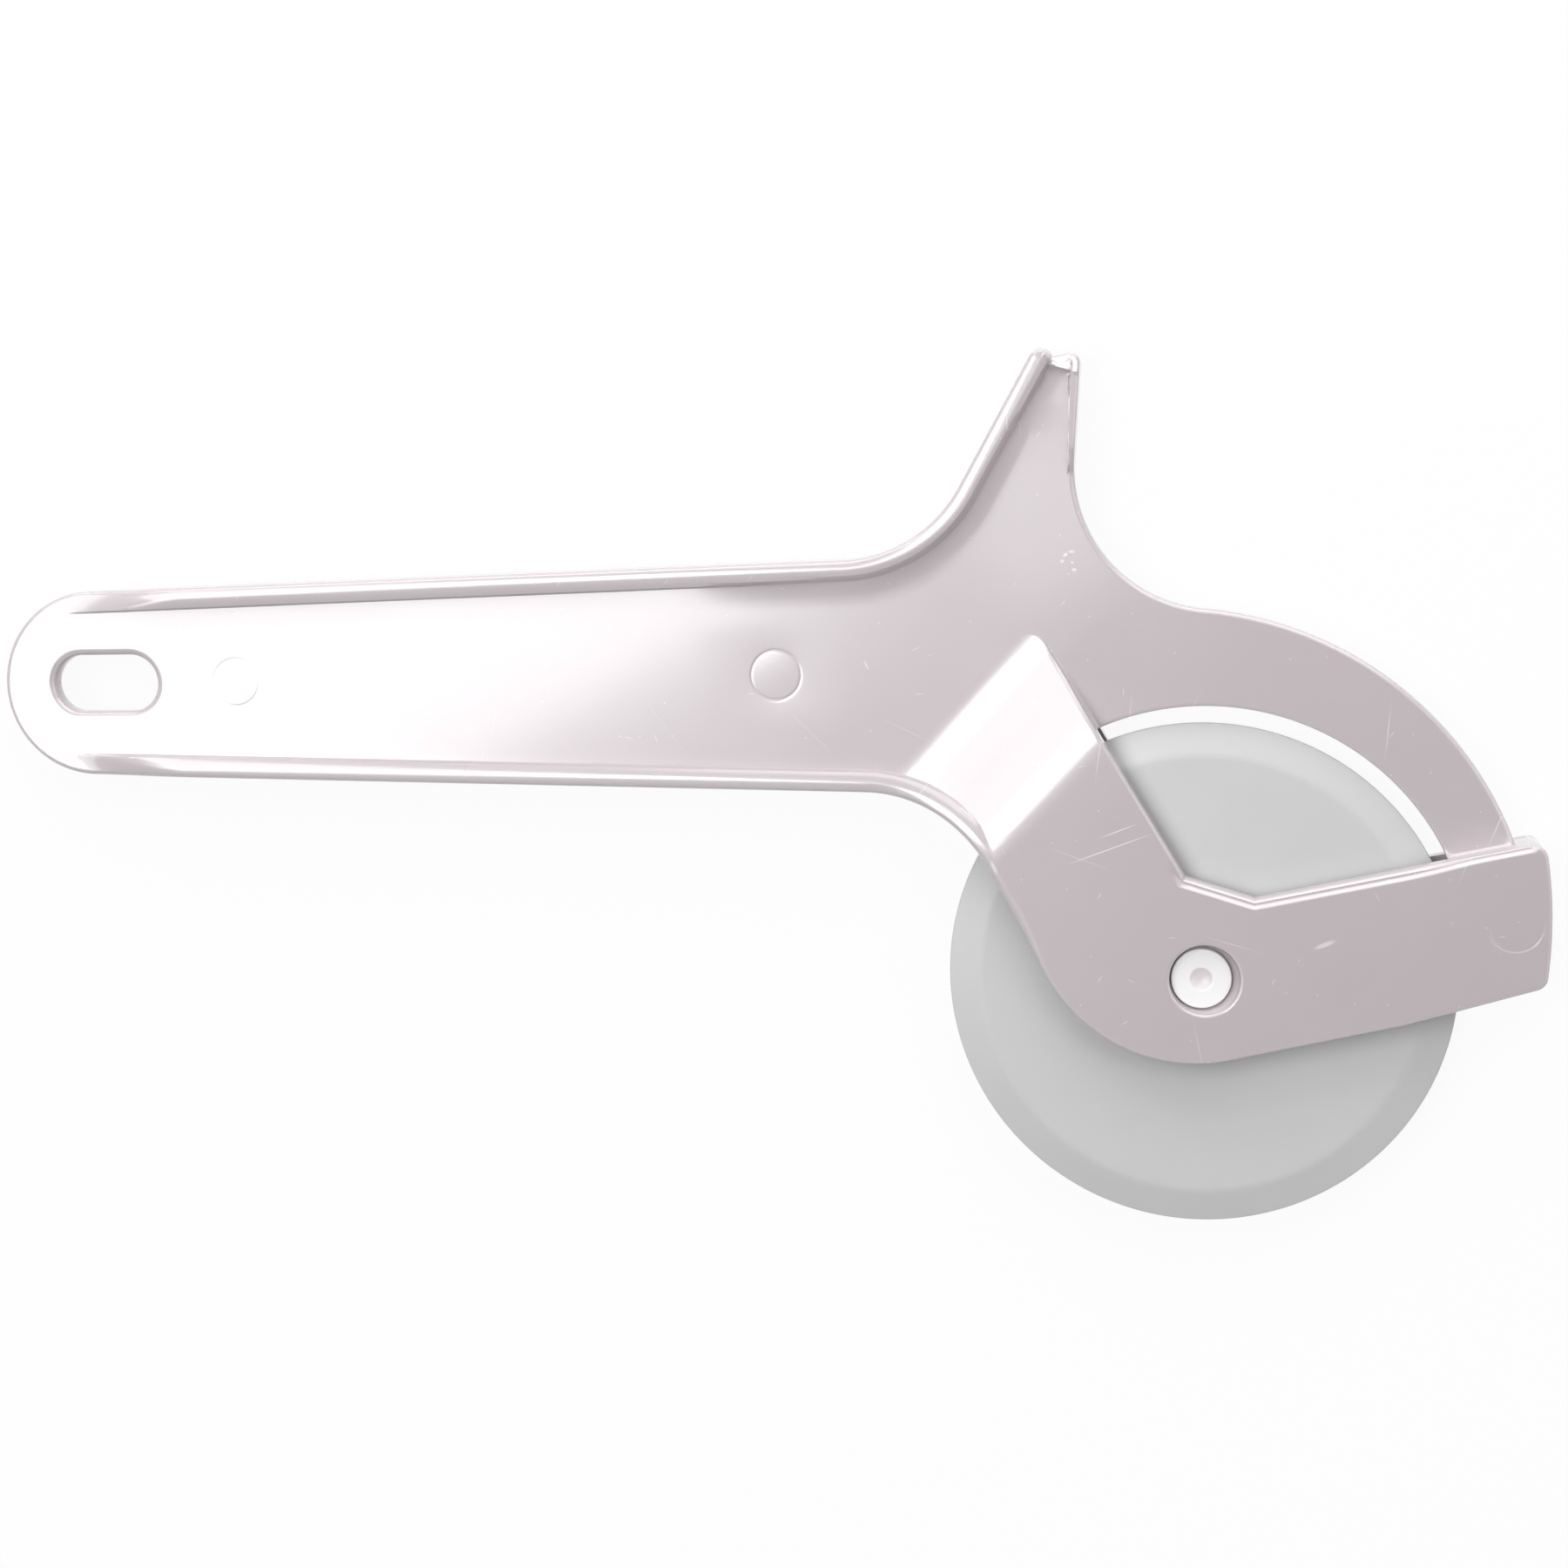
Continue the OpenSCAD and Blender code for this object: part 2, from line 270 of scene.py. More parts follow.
def edge_drop(distance: Heights, radius: float | Heights) -> Heights:
    """Works out how far a rounded edge has fallen.

    Args:
        distance: Distances in from the wall.
        radius: The edge's radius.

    Returns:
        The drops.
    """
    radius = np.maximum(radius, TINY)
    x = np.clip(1 - distance / radius, 0, 1)
    return radius * (1 - np.sqrt(1 - x * x))


def raise_to(base: Heights, height: Heights, share: Heights) -> Heights:
    """Raises a face a share of the way to a height, and never lowers it."""
    return np.maximum(base, base + share * (height - base))


def round_rows(radius: float, count: int, spare: float = 0.12) -> list[float]:
    """Returns the distances of the rows that draw a rounded edge, and one on the flat beyond it."""
    turns = [math.radians(90 * i / count) for i in range(1, count + 1)]
    return [radius * (1 - math.cos(t)) for t in turns] + [radius + spare]


# The closed skin over a plan


class Cell(IntEnum):
    """What stands over a triangle of the plan."""

    OUT = 0
    WEB = 1
    ARM = 2
    BLADE = 3
    BOSS = 4
    SEAT = 5


class Plan:
    """Collects the lines of a plan and triangulates them together."""

    MERGE = 2e-3
    SLIVER = 1e-9

    def __init__(self) -> None:
        """Starts an empty plan."""
        self.points: list[Points] = []
        self.edges: list[tuple[int, int]] = []
        self.count = 0

    def add(self, line: Points, closed: bool = False, keep: np.ndarray | None = None) -> None:
        """Adds a line.

        Args:
            line: Its points.
            closed: Whether the last point joins the first.
            keep: Which points stay, or None for all of them.
        """
        line = np.asarray(line, float)
        keep = np.ones(len(line), bool) if keep is None else keep
        index = np.cumsum(keep) - 1 + self.count
        self.points.append(line[keep])
        last = len(line) if closed else len(line) - 1
        for i in range(last):
            j = (i + 1) % len(line)
            if keep[i] and keep[j]:
                self.edges.append((int(index[i]), int(index[j])))
        self.count += int(keep.sum())

    def triangulate(self) -> tuple[Points, np.ndarray]:
        """Triangulates the plan.

        Returns:
            The points, and the triangles as point numbers, anticlockwise.
        """
        points = [Vector(p) for p in np.vstack(self.points)]
        found, _, faces, *_ = delaunay_2d_cdt(points, self.edges, [], 0, self.MERGE)
        place = np.array([tuple(p) for p in found], float)
        tri = np.array(faces, int)
        a, b, c = (place[tri[:, i]] for i in range(3))
        area = (b[:, 0] - a[:, 0]) * (c[:, 1] - a[:, 1]) - (b[:, 1] - a[:, 1]) * (c[:, 0] - a[:, 0])
        tri[area < 0] = tri[area < 0][:, ::-1]
        return place, tri[np.abs(area) > self.SLIVER]


class Skin:
    """Raises a triangulated plan to a closed skin, the same on both sides of the middle plane."""

    STEP = 1e-4

    def __init__(self, place: Points, tri: np.ndarray, cell: np.ndarray) -> None:
        """Keeps the plan.

        Args:
            place: The plan's points.
            tri: The triangles as point numbers.
            cell: What stands over each triangle.
        """
        self.place, self.tri, self.cell = place, tri, cell
        self.low = {kind: np.zeros(len(place)) for kind in Cell}
        self.high = {kind: np.zeros(len(place)) for kind in Cell}
        self.faces: list[list[tuple[int, int]]] = []
        self.levels: dict[int, set[int]] = {}

    def span(self, kind: Cell, low: float | Heights, high: float | Heights) -> None:
        """Sets the heights between which a kind of cell is solid."""
        self.low[kind] = np.zeros(len(self.place)) + low
        self.high[kind] = np.zeros(len(self.place)) + high

    def corner(self, vertex: int, height: float) -> tuple[int, int]:
        """Notes a height at a vertex.

        Args:
            vertex: The vertex.
            height: The height in millimetres.

        Returns:
            The key of the corner, which is the vertex and its level.
        """
        level = round(height / self.STEP)
        self.levels.setdefault(vertex, set()).add(level)
        return vertex, level

    def caps(self) -> None:
        """Adds the faces that look up, and those that look into the fork's slot."""
        for corners, kind in zip(self.tri.tolist(), self.cell.tolist()):
            if kind == Cell.OUT:
                continue
            high = self.high[kind]
            self.faces.append([self.corner(v, high[v]) for v in corners])
            if kind >= Cell.BLADE:
                low = self.low[kind]
                self.faces.append([self.corner(v, low[v]) for v in reversed(corners)])

    def wall_spans(self) -> list[tuple[int, int, list[float]]]:
        """Finds the walls between cells.

        Returns:
            For each wall its two vertices, and its low and high heights at each.
        """
        owner: dict[tuple[int, int], int] = {}
        for number, (a, b, c) in enumerate(self.tri.tolist()):
            for edge in ((a, b), (b, c), (c, a)):
                owner[edge] = number
        walls = []
        for (u, v), number in owner.items():
            kind = int(self.cell[number])
            twin = owner.get((v, u))
            other = Cell.OUT if twin is None else int(self.cell[twin])
            if kind == Cell.OUT or kind == other:
                continue
            ends = []
            for w in (u, v):
                low, high = self.low[kind][w], self.high[kind][w]
                if other == Cell.OUT:
                    ends.append((low, high, low, low))
                    continue
                beyond_low, beyond_high = self.low[other][w], self.high[other][w]
                ends.append((min(max(beyond_high, low), high), high, low, max(low, min(beyond_low, high))))
            for first in (0, 2):
                spans = [ends[0][first], ends[0][first + 1], ends[1][first], ends[1][first + 1]]
                if max(spans[1] - spans[0], spans[3] - spans[2]) > self.STEP:
                    walls.append((u, v, spans))
        return walls

    def build(self) -> tuple[Points, list[list[int]]]:
        """Makes the skin.

        Returns:
            The vertices in millimetres, and the triangles of both sides.
        """
        self.caps()
        walls = self.wall_spans()
        for u, v, (a, b, c, d) in walls:
            for w, height in ((u, a), (u, b), (v, c), (v, d)):
                self.corner(w, height)
        for u, v, spans in walls:
            self.zip_wall(u, v, [round(height / self.STEP) for height in spans])
        number: dict[tuple[int, int], int] = {}
        triangles = []
        for face in self.faces:
            if len(set(face)) < 3:
                continue
            for sign, order in ((1, face), (-1, face[::-1])):
                keys = [(v, sign * level) for v, level in order]
                triangles.append([number.setdefault(key, len(number)) for key in keys])
        vertices = np.array([[*self.place[v], level * self.STEP] for v, level in number])
        return vertices, triangles

    def zip_wall(self, u: int, v: int, spans: list[int]) -> None:
        """Fills one wall with triangles that use every height noted at its two vertices.

        Args:
            u: The wall's first vertex.
            v: Its second vertex.
            spans: Low and high level at the first vertex, then at the second.
        """
        left = [z for z in sorted(self.levels[u]) if spans[0] <= z <= spans[1]]
        right = [z for z in sorted(self.levels[v]) if spans[2] <= z <= spans[3]]
        i = j = 0
        while i < len(left) - 1 or j < len(right) - 1:
            climb_right = i == len(left) - 1 or (j < len(right) - 1 and right[j + 1] <= left[i + 1])
            if climb_right:
                self.faces.append([(u, left[i]), (v, right[j]), (v, right[j + 1])])
                j += 1
            else:
                self.faces.append([(u, left[i]), (v, right[j]), (u, left[i + 1])])
                i += 1


def add_object(name: str, data: bpy.types.ID) -> bpy.types.Object:
    """Adds an object to the scene.

    Args:
        name: The object's name.
        data: Its mesh, lamp or camera.

    Returns:
        The new object.
    """
    obj = bpy.data.objects.new(name, data)
    bpy.context.scene.collection.objects.link(obj)
    return obj


def smooth_mesh(mesh: bpy.types.Mesh) -> None:
    """Smooths a mesh, except at its sharp edges.

    Args:
        mesh: The mesh.
    """
    mesh.validate()
    mesh.shade_smooth()
    mesh.set_sharp_from_angle(angle=math.radians(SHARP_ANGLE))


# Materials


def linear(code: str) -> tuple[float, float, float, float]:
    """Turns an sRGB colour into a linear one.

    Args:
        code: The colour as a hex code.

    Returns:
        Linear red, green, blue and alpha.
    """
    channels = [int(code[i : i + 2], 16) / 255 for i in (1, 3, 5)]
    lit = [c / 12.92 if c <= 0.04045 else ((c + 0.055) / 1.055) ** 2.4 for c in channels]
    return (*lit, 1.0)


def set_inputs(tree: Tree, node: Node, inputs: dict) -> None:
    """Sets and links the inputs of a node.

    Args:
        tree: The node tree.
        node: The node.
        inputs: Values, sockets, or nodes whose first output in use is meant, by input name or number.
    """
    for key, value in inputs.items():
        if isinstance(value, Node):
            value = next(socket for socket in value.outputs if socket.enabled)
        if isinstance(value, Socket):
            tree.links.new(value, node.inputs[key])
        else:
            node.inputs[key].default_value = value


def add_node(tree: Tree, kind: str, inputs: dict | None = None, **settings: object) -> Node:
    """Adds a node.

    Args:
        tree: The node tree.
        kind: The node's type.
        inputs: What its inputs get, as set_inputs takes it.
        **settings: The node's own properties.

    Returns:
        The new node.
    """
    node = tree.nodes.new(kind)
    for key, value in settings.items():
        setattr(node, key, value)
    set_inputs(tree, node, inputs or {})
    return node


def per_mm(size: float) -> float:
    """Returns the scale of a texture whose pattern repeats about every so many millimetres."""
    return 1 / (size * MM)


def new_material(name: str) -> tuple[bpy.types.Material, Tree, Node, Socket]:
    """Starts a material.

    Args:
        name: Its name.

    Returns:
        The material, its tree, its shader and its Object coordinates.
    """
    material = bpy.data.materials.new(name)
    material.use_nodes = True
    tree = material.node_tree
    place = add_node(tree, "ShaderNodeTexCoord").outputs["Object"]
    return material, tree, tree.nodes["Principled BSDF"], place


@dataclass(frozen=True)
class Scratches:
    """Short straight scratches, one to a cell, each turned its own way.

    The pattern lies flat at one level and leans with the height, so that no scratch runs straight down
    a wall.
    """

    cell: float
    length: float
    width: float
    share: float
    seed: float
    level: float = 6.7

    def mask(self, tree: Tree, place: Socket) -> Node:
        """Builds the scratches.

        Args:
            tree: The material's tree.
            place: Object coordinates.

        Returns:
            A mask, 1 in the middle of a scratch.
        """
        shift = (self.seed, self.seed / 2, 0)
        moved = add_node(tree, "ShaderNodeVectorMath", {0: place, 1: shift}, operation="ADD")
        height = add_node(tree, "ShaderNodeSeparateXYZ", {0: place}).outputs["Z"]
        lean = add_node(tree, "ShaderNodeMath", {0: height, 1: self.level * MM}, operation="SUBTRACT")
        slanted = {0: moved, 1: (1, 1, 0), 2: lean}
        flat = add_node(tree, "ShaderNodeVectorMath", slanted, operation="MULTIPLY_ADD")
        grid = {"Vector": flat, "Scale": per_mm(self.cell)}
        cells = add_node(tree, "ShaderNodeTexVoronoi", grid, voronoi_dimensions="2D").outputs
        offset = add_node(tree, "ShaderNodeVectorMath", {0: flat, 1: cells["Position"]}, operation="SUBTRACT")
        chance = add_node(tree, "ShaderNodeSeparateColor", {0: cells["Color"]}).outputs
        turn = add_node(tree, "ShaderNodeMath", {0: chance[0], 1: 2 * math.pi}, operation="MULTIPLY")
        back = {"Vector": offset, "Angle": turn}
        local = add_node(tree, "ShaderNodeVectorRotate", back, rotation_type="Z_AXIS")
        sides = add_node(tree, "ShaderNodeSeparateXYZ", {0: local}).outputs
        mask = add_node(tree, "ShaderNodeMath", {0: chance[1], 1: self.share}, operation="LESS_THAN")
        for side, size in ((sides["X"], self.length), (sides["Y"], self.width)):
            away = add_node(tree, "ShaderNodeMath", {0: side}, operation="ABSOLUTE")
            part = add_node(tree, "ShaderNodeMapRange", {0: away, 1: size * MM / 2, 2: 0.0, 3: 0.0, 4: 1.0})
            mask = add_node(tree, "ShaderNodeMath", {0: mask, 1: part}, operation="MULTIPLY")
        return mask


@dataclass(frozen=True)
class PlacedMark:
    """One pit or scratch with its own place on the front: an ellipse, in mm from the wheel's centre."""

    x: float
    y: float
    z: float
    length: float
    width: float
    turn: float = 0.0
    depth: float = 2.0

    def mask(self, tree: Tree, place: Socket, origin: Vector) -> Node:
        """Builds the mark.

        Args:
            tree: The material's tree.
            place: Object coordinates.
            origin: The wheel's centre in the frame, in metres.

        Returns:
            A mask, 1 in the middle of the mark.
        """
        centre = tuple(origin + Vector((self.x, self.y, self.z)) * MM)
        offset = add_node(tree, "ShaderNodeVectorMath", {0: place, 1: centre}, operation="SUBTRACT")
        back = {"Vector": offset, "Angle": -math.radians(self.turn)}
        local = add_node(tree, "ShaderNodeVectorRotate", back, rotation_type="Z_AXIS")
        scales = tuple(2 / (size * MM) for size in (self.length, self.width, 2 * self.depth))
        sized = add_node(tree, "ShaderNodeVectorMath", {0: local, 1: scales}, operation="MULTIPLY")
        reach = add_node(tree, "ShaderNodeVectorMath", {0: sized}, operation="LENGTH")
        return add_node(tree, "ShaderNodeMapRange", {0: reach, 1: 1.0, 2: 0.5, 3: 0.0, 4: 1.0})


@dataclass(frozen=True)
class Relief:
    """One layer of a surface's relief: how much of it shows, its depth in mm and whether it is sunk."""

    strength: float
    depth: float
    sunk: bool = False


@dataclass(frozen=True)
class PearlPolystyrene:
    """Glossy injection-moulded polystyrene, white with a pinkish pearl; a mirror gloss over a milky body."""

    body: str = "#C2B9BC"
    tint: str = "#C8BFC2"
    mark: str = "#F2EEF0"
    mark_shows: float = 0.6
    roughness: tuple[float, float] = (0.19, 0.27)
    ior: float = 1.57
    coat_roughness: float = 0.09
    milk: float = 0.12
    milk_reach: tuple[float, float, float] = (1.0, 0.85, 0.8)
    milk_depth: float = 1.5
    cloud: float = 26.0
    ripple: float = 9.0
    # The real grain is too fine to show, so it is drawn coarser.
    grain: float = 0.35
    wave: Relief = Relief(0.25, 0.05)
    skin: Relief = Relief(0.2, 0.01)
    cut: Relief = Relief(0.5, 0.03, sunk=True)
    scratches: tuple[Scratches, ...] = (
        Scratches(cell=13, length=9, width=0.14, share=0.32, seed=0.013),
        Scratches(cell=5.5, length=1.3, width=0.2, share=0.16, seed=0.041),
        Scratches(cell=5, length=0.32, width=0.32, share=0.35, seed=0.067),
    )
    marks: tuple[PlacedMark, ...] = (
        PlacedMark(-16.9, 54.2, 1.5, 0.8, 0.50, 50),
        PlacedMark(-16.1, 54.6, 1.5, 0.9, 0.50, -10),
        PlacedMark(-17.3, 53.4, 1.5, 0.6, 0.60, 0),
        PlacedMark(-15.8, 52.3, 1.5, 0.7, 0.55, 0),
        PlacedMark(-16.0, 53.2, 1.5, 0.4, 0.40, 0),
        PlacedMark(-11.5, 16.9, 5.2, 12.4, 0.22, 20),
        PlacedMark(-10.4, 19.2, 5.2, 5.5, 0.20, 21),
        PlacedMark(15.5, 4.7, 5.2, 3.3, 0.75, 22),
        PlacedMark(-20.9, 27.9, 3.4, 2.4, 0.16, -39),
        PlacedMark(-26.2, 14.6, 4.6, 2.5, 0.60, -66),
        PlacedMark(-16.3, 66.8, 2.0, 2.6, 0.55, -91),
        PlacedMark(-42.6, 40.4, 1.5, 1.6, 0.25, -67),
    )

    def build(self, origin: Vector) -> bpy.types.Material:
        """Builds the material: faint flow clouds, moulding ripple, fine grain, scratches and specks.

        Args:
            origin: The wheel's centre in the frame, in metres.

        Returns:
            The material.
        """
        material, tree, shader, place = new_material("pearl_polystyrene")
        clouds, ripple, grain = (
            add_node(tree, "ShaderNodeTexNoise", {"Vector": place, "Scale": per_mm(size), "Detail": detail})
            for size, detail in ((self.cloud, 3.0), (self.ripple, 2.0), (self.grain, 2.0))
        )
        blend = {0: clouds, 6: linear(self.body), 7: linear(self.tint)}
        colour = add_node(tree, "ShaderNodeMix", blend, data_type="RGBA")
        marks, *others = [scratches.mask(tree, place) for scratches in self.scratches]
        for other in (*others, *(mark.mask(tree, place, origin) for mark in self.marks)):
            marks = add_node(tree, "ShaderNodeMath", {0: marks, 1: other}, operation="MAXIMUM")
        faint = add_node(tree, "ShaderNodeMath", {0: marks, 1: self.mark_shows}, operation="MULTIPLY")
        worn = add_node(tree, "ShaderNodeMix", {0: faint, 6: colour, 7: linear(self.mark)}, data_type="RGBA")
        low, high = self.roughness
        look = {
            "Base Color": worn,
            "Roughness": add_node(tree, "ShaderNodeMapRange", {0: ripple, 3: low, 4: high}),
            "IOR": self.ior,
            "Coat Weight": 1.0,
            "Coat Roughness": self.coat_roughness,
            "Coat IOR": self.ior,
            "Subsurface Weight": self.milk,
            "Subsurface Radius": self.milk_reach,
            "Subsurface Scale": self.milk_depth * MM,
        }
        for layer, height in ((self.wave, ripple), (self.skin, grain), (self.cut, marks)):
            press = {"Height": height, "Strength": layer.strength, "Distance": layer.depth * MM}
            if "Normal" in look:
                press["Normal"] = look["Normal"]
            look["Normal"] = add_node(tree, "ShaderNodeBump", press, invert=layer.sunk)
        set_inputs(tree, shader, look)
        return material


@dataclass(frozen=True)
class SatinPolypropylene:
    """Satin injection-moulded polypropylene, neutral light grey; waxy, with a soft broad highlight."""

    body: str = "#C8C8C8"
    tint: str = "#CFCFCF"
    roughness: tuple[float, float] = (0.38, 0.48)
    ior: float = 1.49
    milk: float = 0.1
    milk_depth: float = 1.2
    cloud: float = 14.0
    # The real spark-eroded grain is too fine to show, so it is drawn coarser.
    grain: float = 0.3
    skin: Relief = Relief(0.3, 0.012)
    cut: Relief = Relief(0.4, 0.03, sunk=True)
    nicks: Scratches = Scratches(cell=7, length=1.2, width=0.16, share=0.12, seed=0.027)

    def build(self) -> bpy.types.Material:
        """Builds the material: faint clouds, a fine spark-eroded grain and small nicks.

        Returns:
            The material.
        """
        material, tree, shader, place = new_material("satin_polypropylene")
        clouds, grain = (
            add_node(tree, "ShaderNodeTexNoise", {"Vector": place, "Scale": per_mm(size), "Detail": detail})
            for size, detail in ((self.cloud, 4.0), (self.grain, 3.0))
        )
        blend = {0: clouds, 6: linear(self.body), 7: linear(self.tint)}
        skin = {"Height": grain, "Strength": self.skin.strength, "Distance": self.skin.depth * MM}
        nicks = self.nicks.mask(tree, place)
        cut = {
            "Height": nicks,
            "Strength": self.cut.strength,
            "Distance": self.cut.depth * MM,
            "Normal": add_node(tree, "ShaderNodeBump", skin),
        }
        low, high = self.roughness
        look = {
            "Base Color": add_node(tree, "ShaderNodeMix", blend, data_type="RGBA"),
            "Roughness": add_node(tree, "ShaderNodeMapRange", {0: clouds, 3: low, 4: high}),
            "Normal": add_node(tree, "ShaderNodeBump", cut, invert=self.cut.sunk),
            "IOR": self.ior,
            "Subsurface Weight": self.milk,
            "Subsurface Radius": (1.0, 1.0, 1.0),
            "Subsurface Scale": self.milk_depth * MM,
        }
        set_inputs(tree, shader, look)
        return material


@dataclass(frozen=True)
class AcetalPaintedGlare:
    """Injection-moulded acetal, the slick resin of small pins; its near-white colour is partly painted glare,
    with a crisp highlight.
    """

    # near-white body and tint: partly painted glare, standing in for the lamps' reflection on the heads
    body: str = "#FCFAFB"
    tint: str = "#FDFCFC"
    # painted shade: a darker colour laid over the dimple, with its radius and soft edge
    dimple_shade: str = "#E6DFE2"
    dimple_shade_r: float = 1.5
    dimple_shade_edge: float = 0.12
    roughness: float = 0.25
    ior: float = 1.48
    milk: float = 0.1
    milk_depth: float = 1.0
    cloud: float = 3.0
    skin: Relief = Relief(0.2, 0.02)

    def build(self, axis: Vector) -> bpy.types.Material:
        """Builds the material: faint clouds, and a darker disc painted over the dimple as painted shade in
        its hollow.

        Args:
            axis: The axle's centre in the frame, in metres.

        Returns:
            The material.
        """
        material, tree, shader, place = new_material("acetal_painted_glare")
        noise = {"Vector": place, "Scale": per_mm(self.cloud), "Detail": 3.0}
        clouds = add_node(tree, "ShaderNodeTexNoise", noise)
        blend = {0: clouds, 6: linear(self.body), 7: linear(self.tint)}
        colour = add_node(tree, "ShaderNodeMix", blend, data_type="RGBA")
        # painted shade: a darker disc round the axis, over the dimple
        away = add_node(tree, "ShaderNodeVectorMath", {0: place, 1: tuple(axis)}, operation="SUBTRACT")
        flat = add_node(tree, "ShaderNodeVectorMath", {0: away, 1: (1, 1, 0)}, operation="MULTIPLY")
        reach = add_node(tree, "ShaderNodeVectorMath", {0: flat}, operation="LENGTH")
        edges = {0: reach, 1: (self.dimple_shade_r - self.dimple_shade_edge) * MM, 2: self.dimple_shade_r * MM, 3: 1.0, 4: 0.0}
        blend = {0: add_node(tree, "ShaderNodeMapRange", edges), 6: colour, 7: linear(self.dimple_shade)}
        press = {"Height": clouds, "Strength": self.skin.strength, "Distance": self.skin.depth * MM}
        look = {
            "Base Color": add_node(tree, "ShaderNodeMix", blend, data_type="RGBA"),
            "Normal": add_node(tree, "ShaderNodeBump", press),
            "Roughness": self.roughness,
            "IOR": self.ior,
            "Subsurface Weight": self.milk,
            "Subsurface Scale": self.milk_depth * MM,
        }
        set_inputs(tree, shader, look)
        return material


# The handle


@dataclass
class Web:
    """The flat plate of the grip, the horn and the guard, with its beads."""

    half: float = 1.5
    edge_r: float = 0.55
    rim_r: float = 0.3
    bead_r: float = 1.45
    bead_top: float = 3.2
    ridge: float = 1.1
    foot: float = 0.3
    shoulder: float = 0.4
    crown_r: float = 3.6
    outer_r: float = 2.8
    rib_width: float = 1.25
    rib_narrow: float = 0.45
    rib_fall: float = 0.3
    rib_foot: float = 0.15
    rib_tip_r: float = 1.25
    rib_top: float = 2.7
    plateau: float = 1.9
    plateau_fall: float = 0.12
    plateau_slant: float = 0.3
    plateau_ramp: float = 0.4
    wall_foot_r: float = 0.45
    wall_foot_share: float = 0.5
    wall_foot_in: float = 0.3


@dataclass
class Grip:
    """The grip's round end, its sides and its hanging slot."""

    reach: float = 159.5
    up: float = 39.0
    width: float = 24.6
    taper: float = 1.5
    fade_from: float = 8.2
    fade_slant: float = 3.5
    fade_length: float = 14.0
    guide_share: float = 1.2
    slot_length: float = 14.25
    slot_width: float = 7.55
    slot_back: float = 14.1
    slot_edge_r: float = 0.8
    low_r: float = 19.0


@dataclass
class Horn:
    """The thumb horn, its two curves and its two rounded tips."""

    up: float = 80.3
    tip_back: float = 14.6
    tip_width: float = 5.9
    lean: float = 60.6
    front: float = 86.0
    heel_r: float = 17.8
    throat_r: float = 18.0
    tip_step: float = 0.7
    rib_length: float = 14.0
    rib_fade: float = 3.2
    outer_r: float = 8.0
    ridge_in: float = 0.35
    rib_end: float = 95.0
    bead_end: float = 10.0
    guide_beyond: float = 4.0
    starts: float = 50.0
    turns: float = 10.0
    heel_fillet: float = 0.22
    heel_fillet_width: float = 2.4
    heel_foot: float = 0.9
    heel_full: float = 1.3
    heel_span: float = 1.6


@dataclass
class Fork:
    """The two arms, their joggle and their nose."""

    half: float = 5.2
    inner: float = 2.4
    land: float = 1.9
    seat: float = 2.9
    recess_r: float = 4.5
    recess_c: tuple[float, float] = (0.45, 0.0)
    recess_edge_r: float = 0.3
    seat_r: float = 3.9
    seat_rise: float = 1.9
    bore_r: float = 2.95
    boss_r: float = 6.5
    edge_r: float = 0.45
    top_edge_r: float = 0.25
    rear_edge_r: float = 1.3
    rear_edge_share: float = 0.6
    edge_share: float = 0.8
    ledge_at: float = 1.0
    ledge_drop: float = 0.38
    ledge_width: float = 0.6
    ledge_shift: float = 0.4
    ledge_fade: float = 10.0
    bevel_width: float = 0.45
    bevel_drop: float = 0.4
    drop: float = 10.9
    hub_r: float = 21.2
    hub_back: float = 0.9
    rear_lean: float = 62.2
    front_lean: float = 59.5
    top_rise: float = 11.4
    low_rise: float = 12.2
    nose_rise: float = 15.7
    brow: tuple[float, float] = (-1.9, 13.1)
    dip: tuple[float, float] = (6.8, 10.35)
    kink_ahead: float = 25.5
    bend_angle: float = 47.0
    bend_start: float = 46.6
    bend_length: float = 17.8
    nose_length: float = 9.6
    bow_r: float = 59.0
    bow_up: float = 7.7
    corner_r: float = 1.8
    step_corner_r: float = 2.5


@dataclass
class Guard:
    """The guard over the wheel and the pocket that the wheel turns in."""

    pocket_r: float = 33.5
    pocket: tuple[float, float] = (0.4, 1.2)
    width: float = 12.6
    taper: float = 4.5


@dataclass
class EjectorMark:
    """The round mark that a mould's ejector pin leaves; it may fade out towards its upper side."""

    centre: tuple[float, float]
    radius: float
    depth: float = 0.05
    line: float = 0.14
    fades_up: bool = False
    fade_share: float = 0.35

    def groove(self, points: Points) -> Heights:
        """Works out the mark's circular line.

        Args:
            points: Places in the plan.

        Returns:
            The depth of the line at each place.
        """
        reach = reach_from(points, self.centre)
        depth = self.depth * np.exp(-(((reach - self.radius) / self.line) ** 2))
        if self.fades_up:
            rise = (points[:, 1] - self.centre[1]) / np.maximum(reach, TINY)
            depth *= np.clip(self.fade_share - rise, 0, 1)
        return depth


